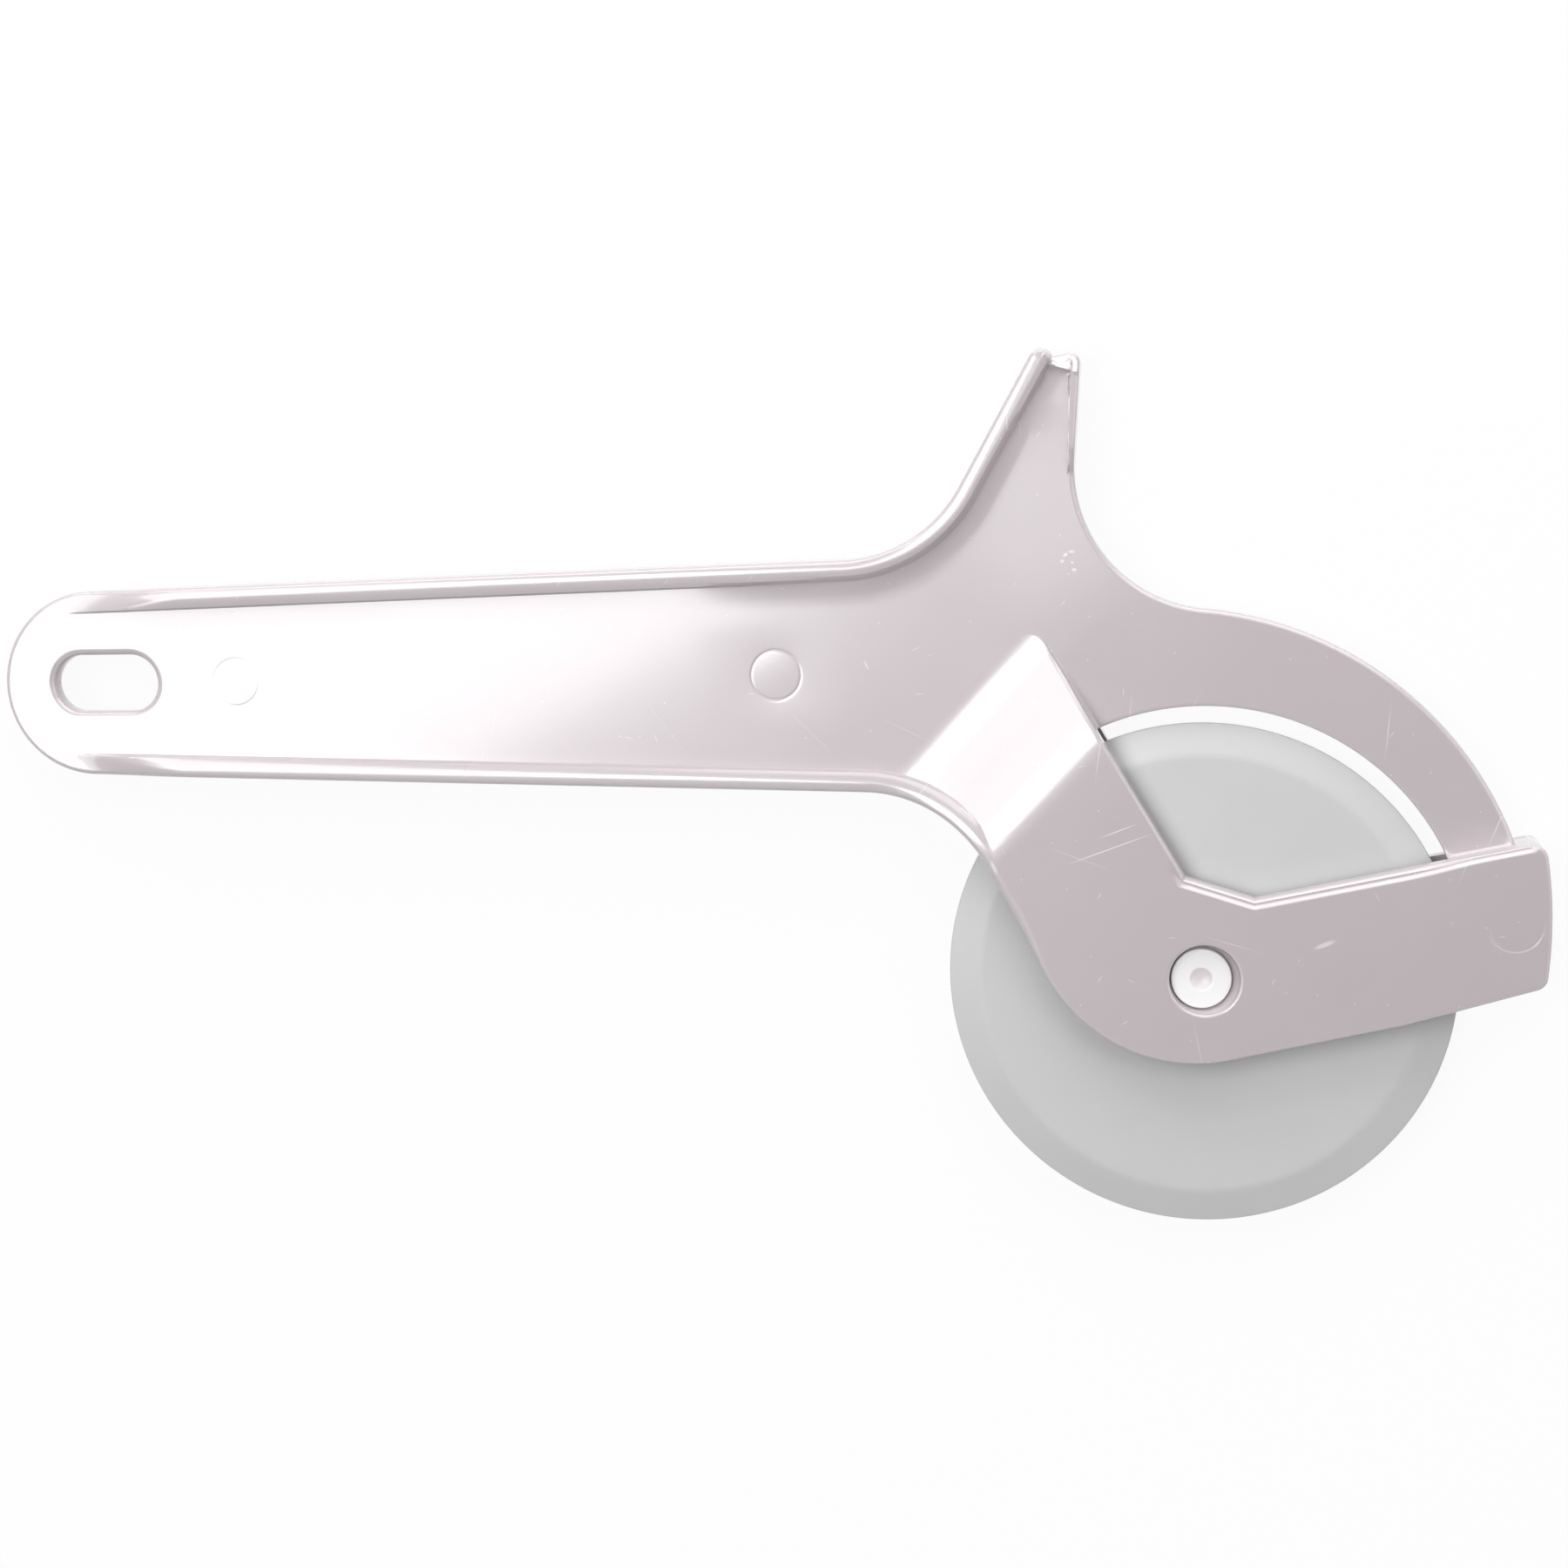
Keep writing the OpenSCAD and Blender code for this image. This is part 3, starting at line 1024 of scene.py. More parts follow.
@dataclass(frozen=True)
class Rows:
    """The plan's rows: how finely its lines are divided, then how far in from their edges the rows lie."""

    curve: float = 0.7
    line: float = 1.6
    tip: float = 0.175
    circle: float = 0.45
    rim: float = 0.8
    slot: float = 0.4
    corner: float = 0.25
    bead_tip: float = 0.15
    joggle: float = 0.6
    across: float = 1.5
    across_reach: float = 60.0
    across_search: float = 0.05
    fade_out: float = 1.0
    fade_in: float = 4.0
    slack: float = 0.02
    ridge: tuple[float, ...] = (-0.35, 0, 0.3, 0.6, 0.9, 1.2)
    foot_shares: tuple[float, ...] = (1, 0.75, 0.5, 0.25, 0, -0.15, -0.6)
    fillet: tuple[float, ...] = (0.04, 0.12, 0.22, 0.4, 0.8, 1.4, 2.2, 3.2, 4.4)
    rib_flank: tuple[float, ...] = (0.05, 0.12, 0.2, 0.3, 0.42, 0.5, 0.55, 0.6)
    rib_foot: tuple[float, ...] = (0.68, 0.77, 0.82, 0.88, 0.95, 1.1, 1.4)
    round_tip: tuple[float, ...] = (-0.02, 0.08, 0.16, 0.24, 0.32, 0.6)
    plateau: tuple[float, ...] = (-4, -2.5, -1.5, -0.8, -0.35, -0.05, 0.05, 0.13, 0.2, 0.27, 0.35, 0.4, 0.7)
    wall_foot: tuple[float, ...] = (0.03, 0.08, 0.15, 0.25, 0.36, 0.46)
    bevel: tuple[float, ...] = (0.06, 0.14, 0.25, 0.35, 0.45)
    ledge: tuple[float, ...] = (0.55, 0.65, 0.75, 0.85, 0.95, 1.05, 1.15, 1.25, 1.32)
    seat_shares: tuple[float, ...] = (0.25, 0.5, 0.75, 1.0)
    mark_lines: tuple[float, ...] = (-2.5, -1.6, -0.8, 0, 0.8, 1.6, 2.5)


@dataclass
class Handle:
    """The one-piece moulded handle."""

    web: Web = field(default_factory=Web)
    grip: Grip = field(default_factory=Grip)
    horn: Horn = field(default_factory=Horn)
    fork: Fork = field(default_factory=Fork)
    guard: Guard = field(default_factory=Guard)
    rows: Rows = Rows()
    marks: tuple[EjectorMark, ...] = (
        EjectorMark((-127.2, 39.0), 3.15, depth=0.018),
        EjectorMark((-54.4, 39.2), 3.25),
        EjectorMark((39.0, 7.3), 3.4, fades_up=True),
    )

    def __post_init__(self) -> None:
        """Works out the corners, centres and outlines that the sizes give."""
        self.lay_out_grip()
        self.lay_out_fork()
        self.outline_web()
        self.outline_arm()

    def lay_out_grip(self) -> None:
        """Places the grip's end, the horn's corners and the curves round them."""
        g, h, w, guard = self.grip, self.horn, self.web, self.guard
        self.pocket = np.array(guard.pocket)
        self.guard_r = guard.pocket_r + guard.width
        self.guard_c = self.pocket - np.array([guard.taper, 0])
        self.end_r = g.width / 2
        self.end_c = np.array([self.end_r - g.reach, g.up])
        self.top_a = self.end_c + self.end_r * left_of(g.taper)
        self.low_a = self.end_c - self.end_r * left_of(-g.taper)
        self.tip_front = np.array([-h.tip_back, h.up])
        self.tip_rear = self.tip_front - np.array([h.tip_width, 0])
        over_top = self.top_a + h.heel_r * left_of(g.taper)
        over_horn = self.tip_rear + h.heel_r * left_of(h.lean)
        self.heel_c = meet(over_top, g.taper, over_horn, h.lean)
        self.throat_c = beside(self.tip_front, h.front, -h.throat_r, self.guard_c, self.guard_r + h.throat_r)
        in_bead = self.tip_rear - w.bead_r * left_of(h.lean)
        self.bead_tip = meet(in_bead, h.lean, (0, h.up - w.bead_r), 0)
        in_rib = self.tip_front + w.rib_tip_r * left_of(h.front)
        self.rib_tip = meet(in_rib, h.front, (0, h.up - h.tip_step - w.rib_tip_r), 0)

    def lay_out_fork(self) -> None:
        """Places the arm's curves, its nose and the step between web and arm."""
        f, g = self.fork, self.grip
        self.hub_c = np.array([-f.hub_back, f.hub_r - f.drop])
        self.rear_a = self.hub_c - f.hub_r * left_of(-f.rear_lean)
        self.low_b = self.hub_c - f.hub_r * left_of(f.low_rise)
        under_grip = self.low_a - g.low_r * left_of(-g.taper)
        under_arm = self.rear_a - g.low_r * left_of(-f.rear_lean)
        self.elbow_c = meet(under_grip, -g.taper, under_arm, -f.rear_lean)
        self.kink = meet(self.low_b, f.low_rise, (f.kink_ahead, 0), 90)
        nose_x = self.guard.pocket_r + self.guard.pocket[0] + f.nose_length
        self.bow_c = np.array([nose_x - f.bow_r, f.bow_up])
        self.low_corner = beside(self.kink, f.nose_rise, f.corner_r, self.bow_c, f.bow_r - f.corner_r)
        self.top_corner = beside(f.dip, f.top_rise, -f.corner_r, self.bow_c, f.bow_r - f.corner_r)
        self.bend_way = heading(f.bend_angle - 90)
        edge = -f.bend_start * self.bend_way
        self.bend_from = meet(edge, f.bend_angle, self.low_a, -g.taper)
        self.bend_to = meet(edge, f.bend_angle, f.brow, -f.front_lean)
        climb = f.half - self.web.half
        self.bend_r = (f.bend_length**2 + climb**2) / (4 * climb)

    def outline_web(self) -> None:
        """Draws the plate's outline and the lines that its beads follow."""
        g, h, f, w, rows = self.grip, self.horn, self.fork, self.web, self.rows
        self.grip_end = end = arc(self.end_c, self.end_r, 90 + g.taper, 270 - g.taper, rows.curve)
        elbow = arc(self.elbow_c, g.low_r, 90 - g.taper, 90 - f.rear_lean, rows.curve)
        to_throat = angle_of(self.throat_c - self.guard_c)
        outer = arc(self.guard_c, self.guard_r, f.top_rise, to_throat, rows.curve)
        throat = arc(self.throat_c, h.throat_r, to_throat + 180, h.front + 90, rows.curve)
        rib_end = arc(self.rib_tip, w.rib_tip_r, h.front - 90, h.rib_end, rows.tip)
        bead_end = arc(self.bead_tip, w.bead_r, h.bead_end, h.lean + 90, rows.tip)
        heel = arc(self.heel_c, h.heel_r, h.lean - 90, g.taper - 90, rows.curve)
        self.low_chain = stretch(join(end[-1:], elbow, [self.rear_a]), rows.line)
        self.front_chain = stretch(join(outer, throat, rib_end[:1]), rows.line)
        self.top_chain = stretch(join(bead_end, heel, end[:1]), rows.line)
        self.web_outline = join(end, self.low_chain, [self.pocket], self.front_chain, rib_end, self.top_chain)
        self.rib_chain = stretch(join([rib_end[0] - h.rib_length * heading(h.front)], rib_end), rows.line)
        round_grip = join(self.top_chain, end, self.low_chain)
        self.free_web = [round_grip, join(self.front_chain, rib_end, bead_end[:1])]
        run = g.guide_share * g.fade_from * heading(180 + g.taper)
        beyond_tip = self.bead_tip + w.bead_r * left_of(h.lean) + h.guide_beyond * heading(h.lean)
        self.top_guide = join([beyond_tip], stretch(join(heel, end[:1]), rows.line), [self.top_a + run])
        self.low_guide = join([self.low_a + run * np.array([1, -1])], self.low_chain)

    def outline_arm(self) -> None:
        """Draws the arm's outline, from behind the bend line to the nose."""
        g, f, fine = self.grip, self.fork, self.rows.curve
        behind = f.bend_length * self.bend_way / 2
        low_end = angle_of(self.low_corner - self.bow_c)
        top_end = angle_of(self.top_corner - self.bow_c)
        r = f.step_corner_r
        front = self.bend_to + r * left_of(180 - f.front_lean)
        round_c = meet(self.bend_to + r * self.bend_way, f.bend_angle, front, -f.front_lean)
        corner = arc(round_c, r, 90 - f.front_lean, 90 + f.bend_angle, self.rows.corner)
        line = join(
            corner,
            [corner[-1] - behind, self.bend_from - behind],
            arc(self.elbow_c, g.low_r, 90 - g.taper, 90 - f.rear_lean, fine),
            arc(self.hub_c, f.hub_r, 270 - f.rear_lean, 270 + f.low_rise, fine),
            [self.kink],
            arc(self.low_corner, f.corner_r, f.nose_rise - 90, low_end, fine / 3),
            arc(self.bow_c, f.bow_r, low_end, top_end, fine * 2),
            arc(self.top_corner, f.corner_r, top_end, f.top_rise + 90, fine / 3),
            [f.dip, f.brow],
        )
        self.arm_outline = stretch(line, self.rows.line, closed=True)
        self.top_line = join([self.top_corner + f.corner_r * left_of(f.top_rise)], [f.dip, f.brow])

    def slot_line(self, grow: float = 0) -> Points:
        """Draws the hanging slot's outline.

        Args:
            grow: How much larger it is drawn on every side.

        Returns:
            The outline.
        """
        g, rows = self.grip, self.rows
        centre = np.array([g.slot_back - g.reach, g.up])
        half = np.array([(g.slot_length - g.slot_width) / 2, 0])
        r = g.slot_width / 2 + grow
        ends = (arc(centre + half, r, -90, 90, rows.slot), arc(centre - half, r, 90, 270, rows.slot))
        return stretch(join(*ends), rows.line, closed=True)

    def along_bend(self, points: Points) -> Heights:
        """Returns how far points lie past the bend line, towards the wheel."""
        return points @ self.bend_way + self.fork.bend_start

    def rise(self, points: Points) -> Heights:
        """Works out how far the arm's face stands above the web.

        Args:
            points: Places in the plan.

        Returns:
            The rise at each place.
        """
        f, r = self.fork, self.bend_r
        climb = f.half - self.web.half
        s = np.clip(self.along_bend(points), 0, f.bend_length)
        start = r - np.sqrt(r * r - np.minimum(s, f.bend_length / 2) ** 2)
        left = np.minimum(f.bend_length - s, f.bend_length / 2)
        end = climb - r + np.sqrt(r * r - left**2)
        return np.where(s < f.bend_length / 2, start, end)

    def bead(
        self,
        base: Heights,
        rounding: Heights,
        guide: Heights,
        inner: Heights,
        top: Heights,
        share: Heights,
        foot: Heights,
        on_horn: Heights,
    ) -> Heights:
        """Lays a bead on a face: a round ridge near the edge, a sloping flank and a short steep foot.

        Args:
            base: The face's heights.
            rounding: Distances to the plate's real edge.
            guide: Distances to the line that the bead's outer side follows.
            inner: Distances in from the foot of its inner side.
            top: Heights of its ridge.
            share: How much of its height it has, from 0 to 1.
            foot: Widths of its foot.
            on_horn: How much it has the flatter shape of the horn's bead, from 0 to 1.

        Returns:
            The heights of the face with the bead.
        """
        w, h = self.web, self.horn
        ridge = w.ridge + h.ridge_in * on_horn
        radius = np.where(guide < ridge, w.outer_r + (h.outer_r - w.outer_r) * on_horn, w.crown_r)
        across = np.where(guide < ridge, ridge - np.clip(rounding, 0, ridge), guide - ridge)
        height = top - (radius - np.sqrt(radius**2 - np.clip(across, 0, 2 * w.bead_r - w.ridge) ** 2))
        height = height - edge_drop(np.clip(rounding, 0, None), w.shoulder * w.bead_r)
        return raise_to(base, height, share * smooth_step(inner / foot))

    def rib(self, base: Heights, points: Points, free: Heights) -> Heights:
        """Lays the horn's thin front rib, which falls from its inner side towards the edge.

        Args:
            base: The face's heights.
            points: Places in the plan.
            free: Distances to the plate's edge.

        Returns:
            The heights of the face with the rib.
        """
        w, h = self.web, self.horn
        guide, run = distance_to(points, self.rib_chain)
        width = w.rib_width - w.rib_narrow * np.clip(1 - run / h.rib_length, 0, 1)
        height = w.rib_top - w.rib_fall * np.clip(width - guide, 0, None) - edge_drop(free, w.rim_r)
        share = smooth_step(run / h.rib_fade) * smooth_step((width - guide) / w.rib_foot)
        return raise_to(base, height, share)

    def plateau(self, base: Heights, points: Points, guide: Heights, free: Heights) -> Heights:
        """Lays the small sloping plateau between the horn's two tips.

        Args:
            base: The face's heights.
            points: Places in the plan.
            guide: Distances to the line that the top bead's outer side follows.
            free: Distances to the plate's edge.

        Returns:
            The heights of the face with the plateau.
        """
        w, h = self.web, self.horn
        into = points[:, 1] - h.up + w.plateau + w.plateau_slant * (points[:, 0] - self.tip_rear[0])
        height = w.rib_top - w.plateau_fall * (self.tip_front[0] - points[:, 0]) - edge_drop(free, w.rim_r)
        return raise_to(base, height, smooth_step(into / w.plateau_ramp) * smooth_step(guide / w.bead_r - 1))

    def top_edge(self, points: Points) -> tuple[Heights, Heights]:
        """Works out the stepped and bevelled top edge of the arm.

        Args:
            points: Places in the plan.

        Returns:
            How far the face has fallen there, and the distances from the edge.
        """
        f = self.fork
        gap = gap_to(points, self.top_line)
        near_nose = smooth_step((points[:, 0] - f.kink_ahead) / f.ledge_fade)
        at = f.ledge_at - f.ledge_shift * near_nose
        fallen = f.ledge_drop * smooth_step((at + f.ledge_width / 2 - gap) / f.ledge_width)
        bevel = f.bevel_drop * np.clip(1 - gap / f.bevel_width, 0, 1)
        return fallen + bevel * (1 - near_nose), gap

    def seat_face(self, points: Points) -> Heights:
        """Works out the floor of the axle's recess, which rises from the head's edge to the recess's wall.

        Args:
            points: Places in the plan.

        Returns:
            The floor's heights.
        """
        f = self.fork
        out = np.clip(reach_from(points) - f.seat_r, 0, None)
        left = np.clip(f.recess_r - reach_from(points, f.recess_c), 0, None)
        return f.seat + f.seat_rise * out / np.maximum(out + left, TINY)

    def fade(self, points: Points, guide: Heights) -> Heights:
        """Works out how a bead fades out towards the grip's slot, later on its inner side.

        Args:
            points: Places in the plan.
            guide: Distances to the line that the bead's outer side follows.

        Returns:
            The share of its height that it has at each place.
        """
        g = self.grip
        started = points[:, 0] + g.reach - g.fade_from - g.fade_slant
        slant = g.fade_slant * np.clip(guide / (2 * self.web.bead_r), 0, 1)
        return smooth_step((started + slant) / g.fade_length)

    def web_face(self, points: Points, free: Heights) -> Heights:
        """Works out the web's face with all that stands on it but the low bead.

        Args:
            points: Places in the plan.
            free: Distances to the plate's edge.

        Returns:
            The heights above the middle plane.
        """
        w, g, h = self.web, self.grip, self.horn
        pocket = np.abs(reach_from(points, self.pocket) - self.guard.pocket_r)
        slot = gap_to(points, self.slot_line(), closed=True)
        drops = [edge_drop(free, w.edge_r), edge_drop(pocket, w.rim_r), edge_drop(slot, g.slot_edge_r)]
        wall = gap_to(points, self.arm_outline, closed=True)
        wall_foot = edge_drop(wall, np.minimum(w.wall_foot_r, w.wall_foot_share * self.rise(points)))
        beside_arm = (self.along_bend(points) > 0) & (free > w.wall_foot_in)
        guide, run = distance_to(points, self.top_guide)
        heel_middle = distance_to(self.heel_c[None, :], self.top_guide)[1][0]
        near_heel = smooth_step(h.heel_full - np.abs(run - heel_middle) / (h.heel_span * h.heel_r))
        past = np.clip(1 - np.clip(guide - 2 * w.bead_r, 0, None) / h.heel_fillet_width, 0, 1)
        base = w.half - np.maximum.reduce(drops) + wall_foot * beside_arm
        base = base + h.heel_fillet * near_heel * past**2
        base = self.plateau(self.rib(base, points, free), points, guide, free)
        inner = 2 * w.bead_r - guide
        round_tip = w.bead_r - reach_from(points, self.bead_tip)
        inner = np.where((points - self.bead_tip) @ heading(h.lean) > 0, np.minimum(inner, round_tip), inner)
        foot = w.foot + (h.heel_foot - w.foot) * near_heel
        on_horn = smooth_step((points[:, 1] - h.starts) / h.turns)
        return self.bead(base, free, guide, inner, w.bead_top, self.fade(points, guide), foot, on_horn)

    def heights(self, points: Points, on_arm: bool) -> Heights:
        """Works out the face of the web or of the arm.

        Args:
            points: Places in the plan.
            on_arm: Whether the arm's face is wanted, and not the web's.

        Returns:
            The heights above the middle plane.
        """
        w, g, f = self.web, self.grip, self.fork
        free = np.minimum(*(gap_to(points, line) for line in self.free_web))
        guide, run = distance_to(points, self.low_guide)
        share, top = self.fade(points, guide), w.bead_top
        if on_arm:
            rise = self.rise(points)
            outline = gap_to(points, self.arm_outline, closed=True)
            straight = np.linalg.norm(self.rear_a - self.elbow_c - g.low_r * left_of(-f.rear_lean))
            to_end = np.linalg.norm(np.diff(self.low_guide, axis=0), axis=1).sum() - run
            soft = smooth_step(to_end / (f.rear_edge_share * straight)) * (guide < 3 * w.bead_r)
            fallen, top_gap = self.top_edge(points)
            on_top = top_gap < outline + self.rows.slack / 2
            radius = np.where(on_top, f.top_edge_r, f.edge_r + (f.rear_edge_r - f.edge_r) * soft)
            base = w.half + rise - edge_drop(outline, np.minimum(radius, f.edge_share * rise)) - fallen
            into = np.maximum(reach_from(points, f.recess_c) - f.recess_r, 0)
            base = base - edge_drop(into, f.recess_edge_r)
            top = w.half + rise + (w.bead_top - w.half) * (1 - rise / (f.half - w.half))
            share = share * smooth_step(to_end / straight)
            free = np.minimum(free, outline)
        else:
            base = self.web_face(points, free)
        base = self.bead(base, free, guide, 2 * w.bead_r - guide, top, share, w.foot, 0)
        for mark in self.marks:
            base = base - mark.groove(points)
        return np.minimum(base, f.half)

    def draw_plan(self) -> Plan:
        """Draws every line of the plan that the skin needs.

        Returns:
            The plan.
        """
        f, rows = self.fork, self.rows
        plan = Plan()
        for line in (self.web_outline, self.arm_outline, ring(self.pocket, self.guard.pocket_r, rows.rim)):
            plan.add(line, closed=True)
        self.add_web_rows(plan)
        self.add_arm_rows(plan)
        for grow in (0, *round_rows(self.grip.slot_edge_r, 3)):
            plan.add(self.slot_line(grow), closed=True)
        centre = np.array(f.recess_c)
        rings = [((0, 0), r) for r in (f.bore_r, f.seat_r, f.boss_r)]
        rings += [(t * centre, f.seat_r + t * (f.recess_r - f.seat_r)) for t in rows.seat_shares]
        rings += [(centre, f.recess_r + d) for d in round_rows(f.recess_edge_r, 3)]
        rings += [(mark.centre, mark.radius + t * mark.line) for mark in self.marks for t in rows.mark_lines]
        for middle, r in rings:
            plan.add(ring(np.array(middle), r, rows.circle), closed=True)
        return plan

    def add_inside(self, plan: Plan, row: Points) -> None:
        """Adds the part of a row that lies on the plate."""
        plan.add(row, keep=inside(row, self.web_outline))

    def add_row(
        self, plan: Plan, line: Points, distance: float, closed: bool = False, arm_only: bool = False
    ) -> None:
        """Adds a line moved in from an edge, where it stays at that distance from every edge.

        Args:
            plan: The plan.
            line: The edge.
            distance: How far in to move it.
            closed: Whether the last point joins the first.
            arm_only: Whether it stays off the web.
        """
        row = inset(line, distance, closed)
        least = distance - self.rows.slack
        arm = inside(row, self.arm_outline) & (self.along_bend(row) > 0)
        keep = arm & (gap_to(row, self.arm_outline, closed=True) > least)
        if not arm_only:
            gap = np.minimum(*(gap_to(row, edge) for edge in self.free_web))
            clear = reach_from(row, self.pocket) > self.guard.pocket_r
            keep |= inside(row, self.web_outline) & ~arm & clear & (gap > least)
        plan.add(row, closed, keep)

    def add_web_rows(self, plan: Plan) -> None:
        """Adds the rows of the plate's rounded edges, of its beads and of what stands on it.

        Args:
            plan: The plan.
        """
        w, g, h, rows = self.web, self.grip, self.horn, self.rows
        bead = round_rows(w.shoulder * w.bead_r, 6)[:-1] + [w.ridge + d for d in rows.ridge]
        bead += [2 * w.bead_r - w.foot * t for t in rows.foot_shares]
        fillet = [2 * w.bead_r + d for d in rows.fillet]
        for d in bead + fillet:
            for line in (self.top_chain, self.low_chain):
                self.add_row(plan, line, d)
        for d in rows.rib_flank + rows.rib_foot:
            self.add_row(plan, self.rib_chain, d)
        for d in rows.round_tip:
            self.add_inside(plan, arc(self.bead_tip, w.bead_r - d, h.lean - 90, h.lean + 90, rows.bead_tip))
        for d in round_rows(w.edge_r, 4):
            self.add_row(plan, self.front_chain, d)
            self.add_row(plan, self.grip_end, d)
        for d in bead[len(bead) // 2 :] + fillet[:6]:
            for guide in (self.top_guide[-2:], self.low_guide[:2]):
                self.add_inside(plan, inset(stretch(guide, rows.rim), d))
        fade_from = g.fade_from - g.reach
        for x in np.arange(fade_from - rows.rim, fade_from + g.fade_length, rows.rim):
            for edge, side in ((self.top_a[1], -1), (self.low_a[1], 1)):
                ends = np.array([[x, edge - rows.fade_out * side], [x, edge + rows.fade_in * side]])
                self.add_inside(plan, stretch(ends, rows.slot))
        fall = w.plateau_slant * (self.tip_front[0] - self.tip_rear[0])
        for d in rows.plateau:
            level = h.up - w.plateau + d
            ends = np.array([[self.tip_rear[0], level], [self.tip_front[0], level - fall]])
            self.add_inside(plan, stretch(ends, rows.corner))
        for d in rows.wall_foot:
            row = inset(self.arm_outline, -d, True)
            clear = reach_from(row, self.pocket) > self.guard.pocket_r
            on_joggle = self.along_bend(row) > w.wall_foot_in
            plan.add(row, True, clear & inside(row, self.web_outline) & on_joggle)
        for d in round_rows(w.rim_r, 3):
            row = ring(self.pocket, self.guard.pocket_r + d, rows.rim)
            arm = inside(row, self.arm_outline) & (self.along_bend(row) > 0)
            plan.add(row, True, inside(row, self.web_outline) & ~arm)

    def add_arm_rows(self, plan: Plan) -> None:
        """Adds the rows of the arm's edges and the lines across its joggle.

        Args:
            plan: The plan.
        """
        f, rows = self.fork, self.rows
        for d in round_rows(f.edge_r, 5) + round_rows(f.rear_edge_r, 5):
            self.add_row(plan, self.arm_outline, d, closed=True, arm_only=True)
        for d in rows.bevel + rows.ledge:
            row = stretch(inset(self.top_line, d), rows.rim)
            gap = gap_to(row, self.arm_outline, closed=True)
            plan.add(row, keep=inside(row, self.arm_outline) & (gap > d - rows.slack))
        side = rows.across_reach * heading(f.bend_angle)
        for s in np.arange(0, f.bend_length + 2 * rows.joggle, rows.joggle):
            middle = (s - f.bend_start) * self.bend_way
            line = stretch(np.array([middle - side, middle + side]), rows.across_search)
            hit = np.flatnonzero(inside(line, self.arm_outline))
            if len(hit) > 1:
                plan.add(stretch(line[[hit[0], hit[-1]]], rows.across))

    def classify(self, place: Points, tri: np.ndarray) -> np.ndarray:
        """Decides what stands over each triangle of the plan.

        Args:
            place: The plan's points.
            tri: The triangles as point numbers.

        Returns:
            The kind of each triangle.
        """
        f = self.fork
        centre = place[tri].mean(axis=1)
        pocket = reach_from(centre, self.pocket) < self.guard.pocket_r
        web = inside(centre, self.web_outline) & ~pocket & ~inside(centre, self.slot_line())
        arm = inside(centre, self.arm_outline) & (self.along_bend(centre) > 0)
        reach = reach_from(centre)
        cell = np.full(len(tri), int(Cell.OUT))
        for where, kind in (
            (web, Cell.WEB),
            (arm & ~pocket, Cell.ARM),
            (arm & pocket, Cell.BLADE),
            (arm & (reach < f.boss_r), Cell.BOSS),
            (reach_from(centre, f.recess_c) < f.recess_r, Cell.SEAT),
            (reach < f.bore_r, Cell.OUT),
        ):
            cell[where] = kind
        return cell

    def build(self, origin: Vector, material: bpy.types.Material) -> bpy.types.Object:
        """Builds and dresses the handle.

        Args:
            origin: The wheel's centre in the frame, in metres.
            material: The shell's material.

        Returns:
            The handle's object, at the origin of the frame.
        """
        place, tri = self.draw_plan().triangulate()
        skin = Skin(place, tri, self.classify(place, tri))
        web_face, arm_face = self.heights(place, False), self.heights(place, True)
        on_bend = np.abs(self.along_bend(place)) < Plan.MERGE
        arm_face[on_bend] = web_face[on_bend]
        f = self.fork
        for kind, low, high in (
            (Cell.WEB, 0, web_face),
            (Cell.ARM, 0, arm_face),
            (Cell.BLADE, f.inner, arm_face),
            (Cell.BOSS, f.land, arm_face),
            (Cell.SEAT, f.land, self.seat_face(place)),
        ):
            skin.span(kind, low, high)
        vertices, faces = skin.build()
        mesh = bpy.data.meshes.new("moulded_handle")
        mesh.from_pydata((vertices * MM + np.array(origin)).tolist(), [], faces)
        mesh.materials.append(material)
        smooth_mesh(mesh)
        return add_object("moulded_handle", mesh)


# Round pieces


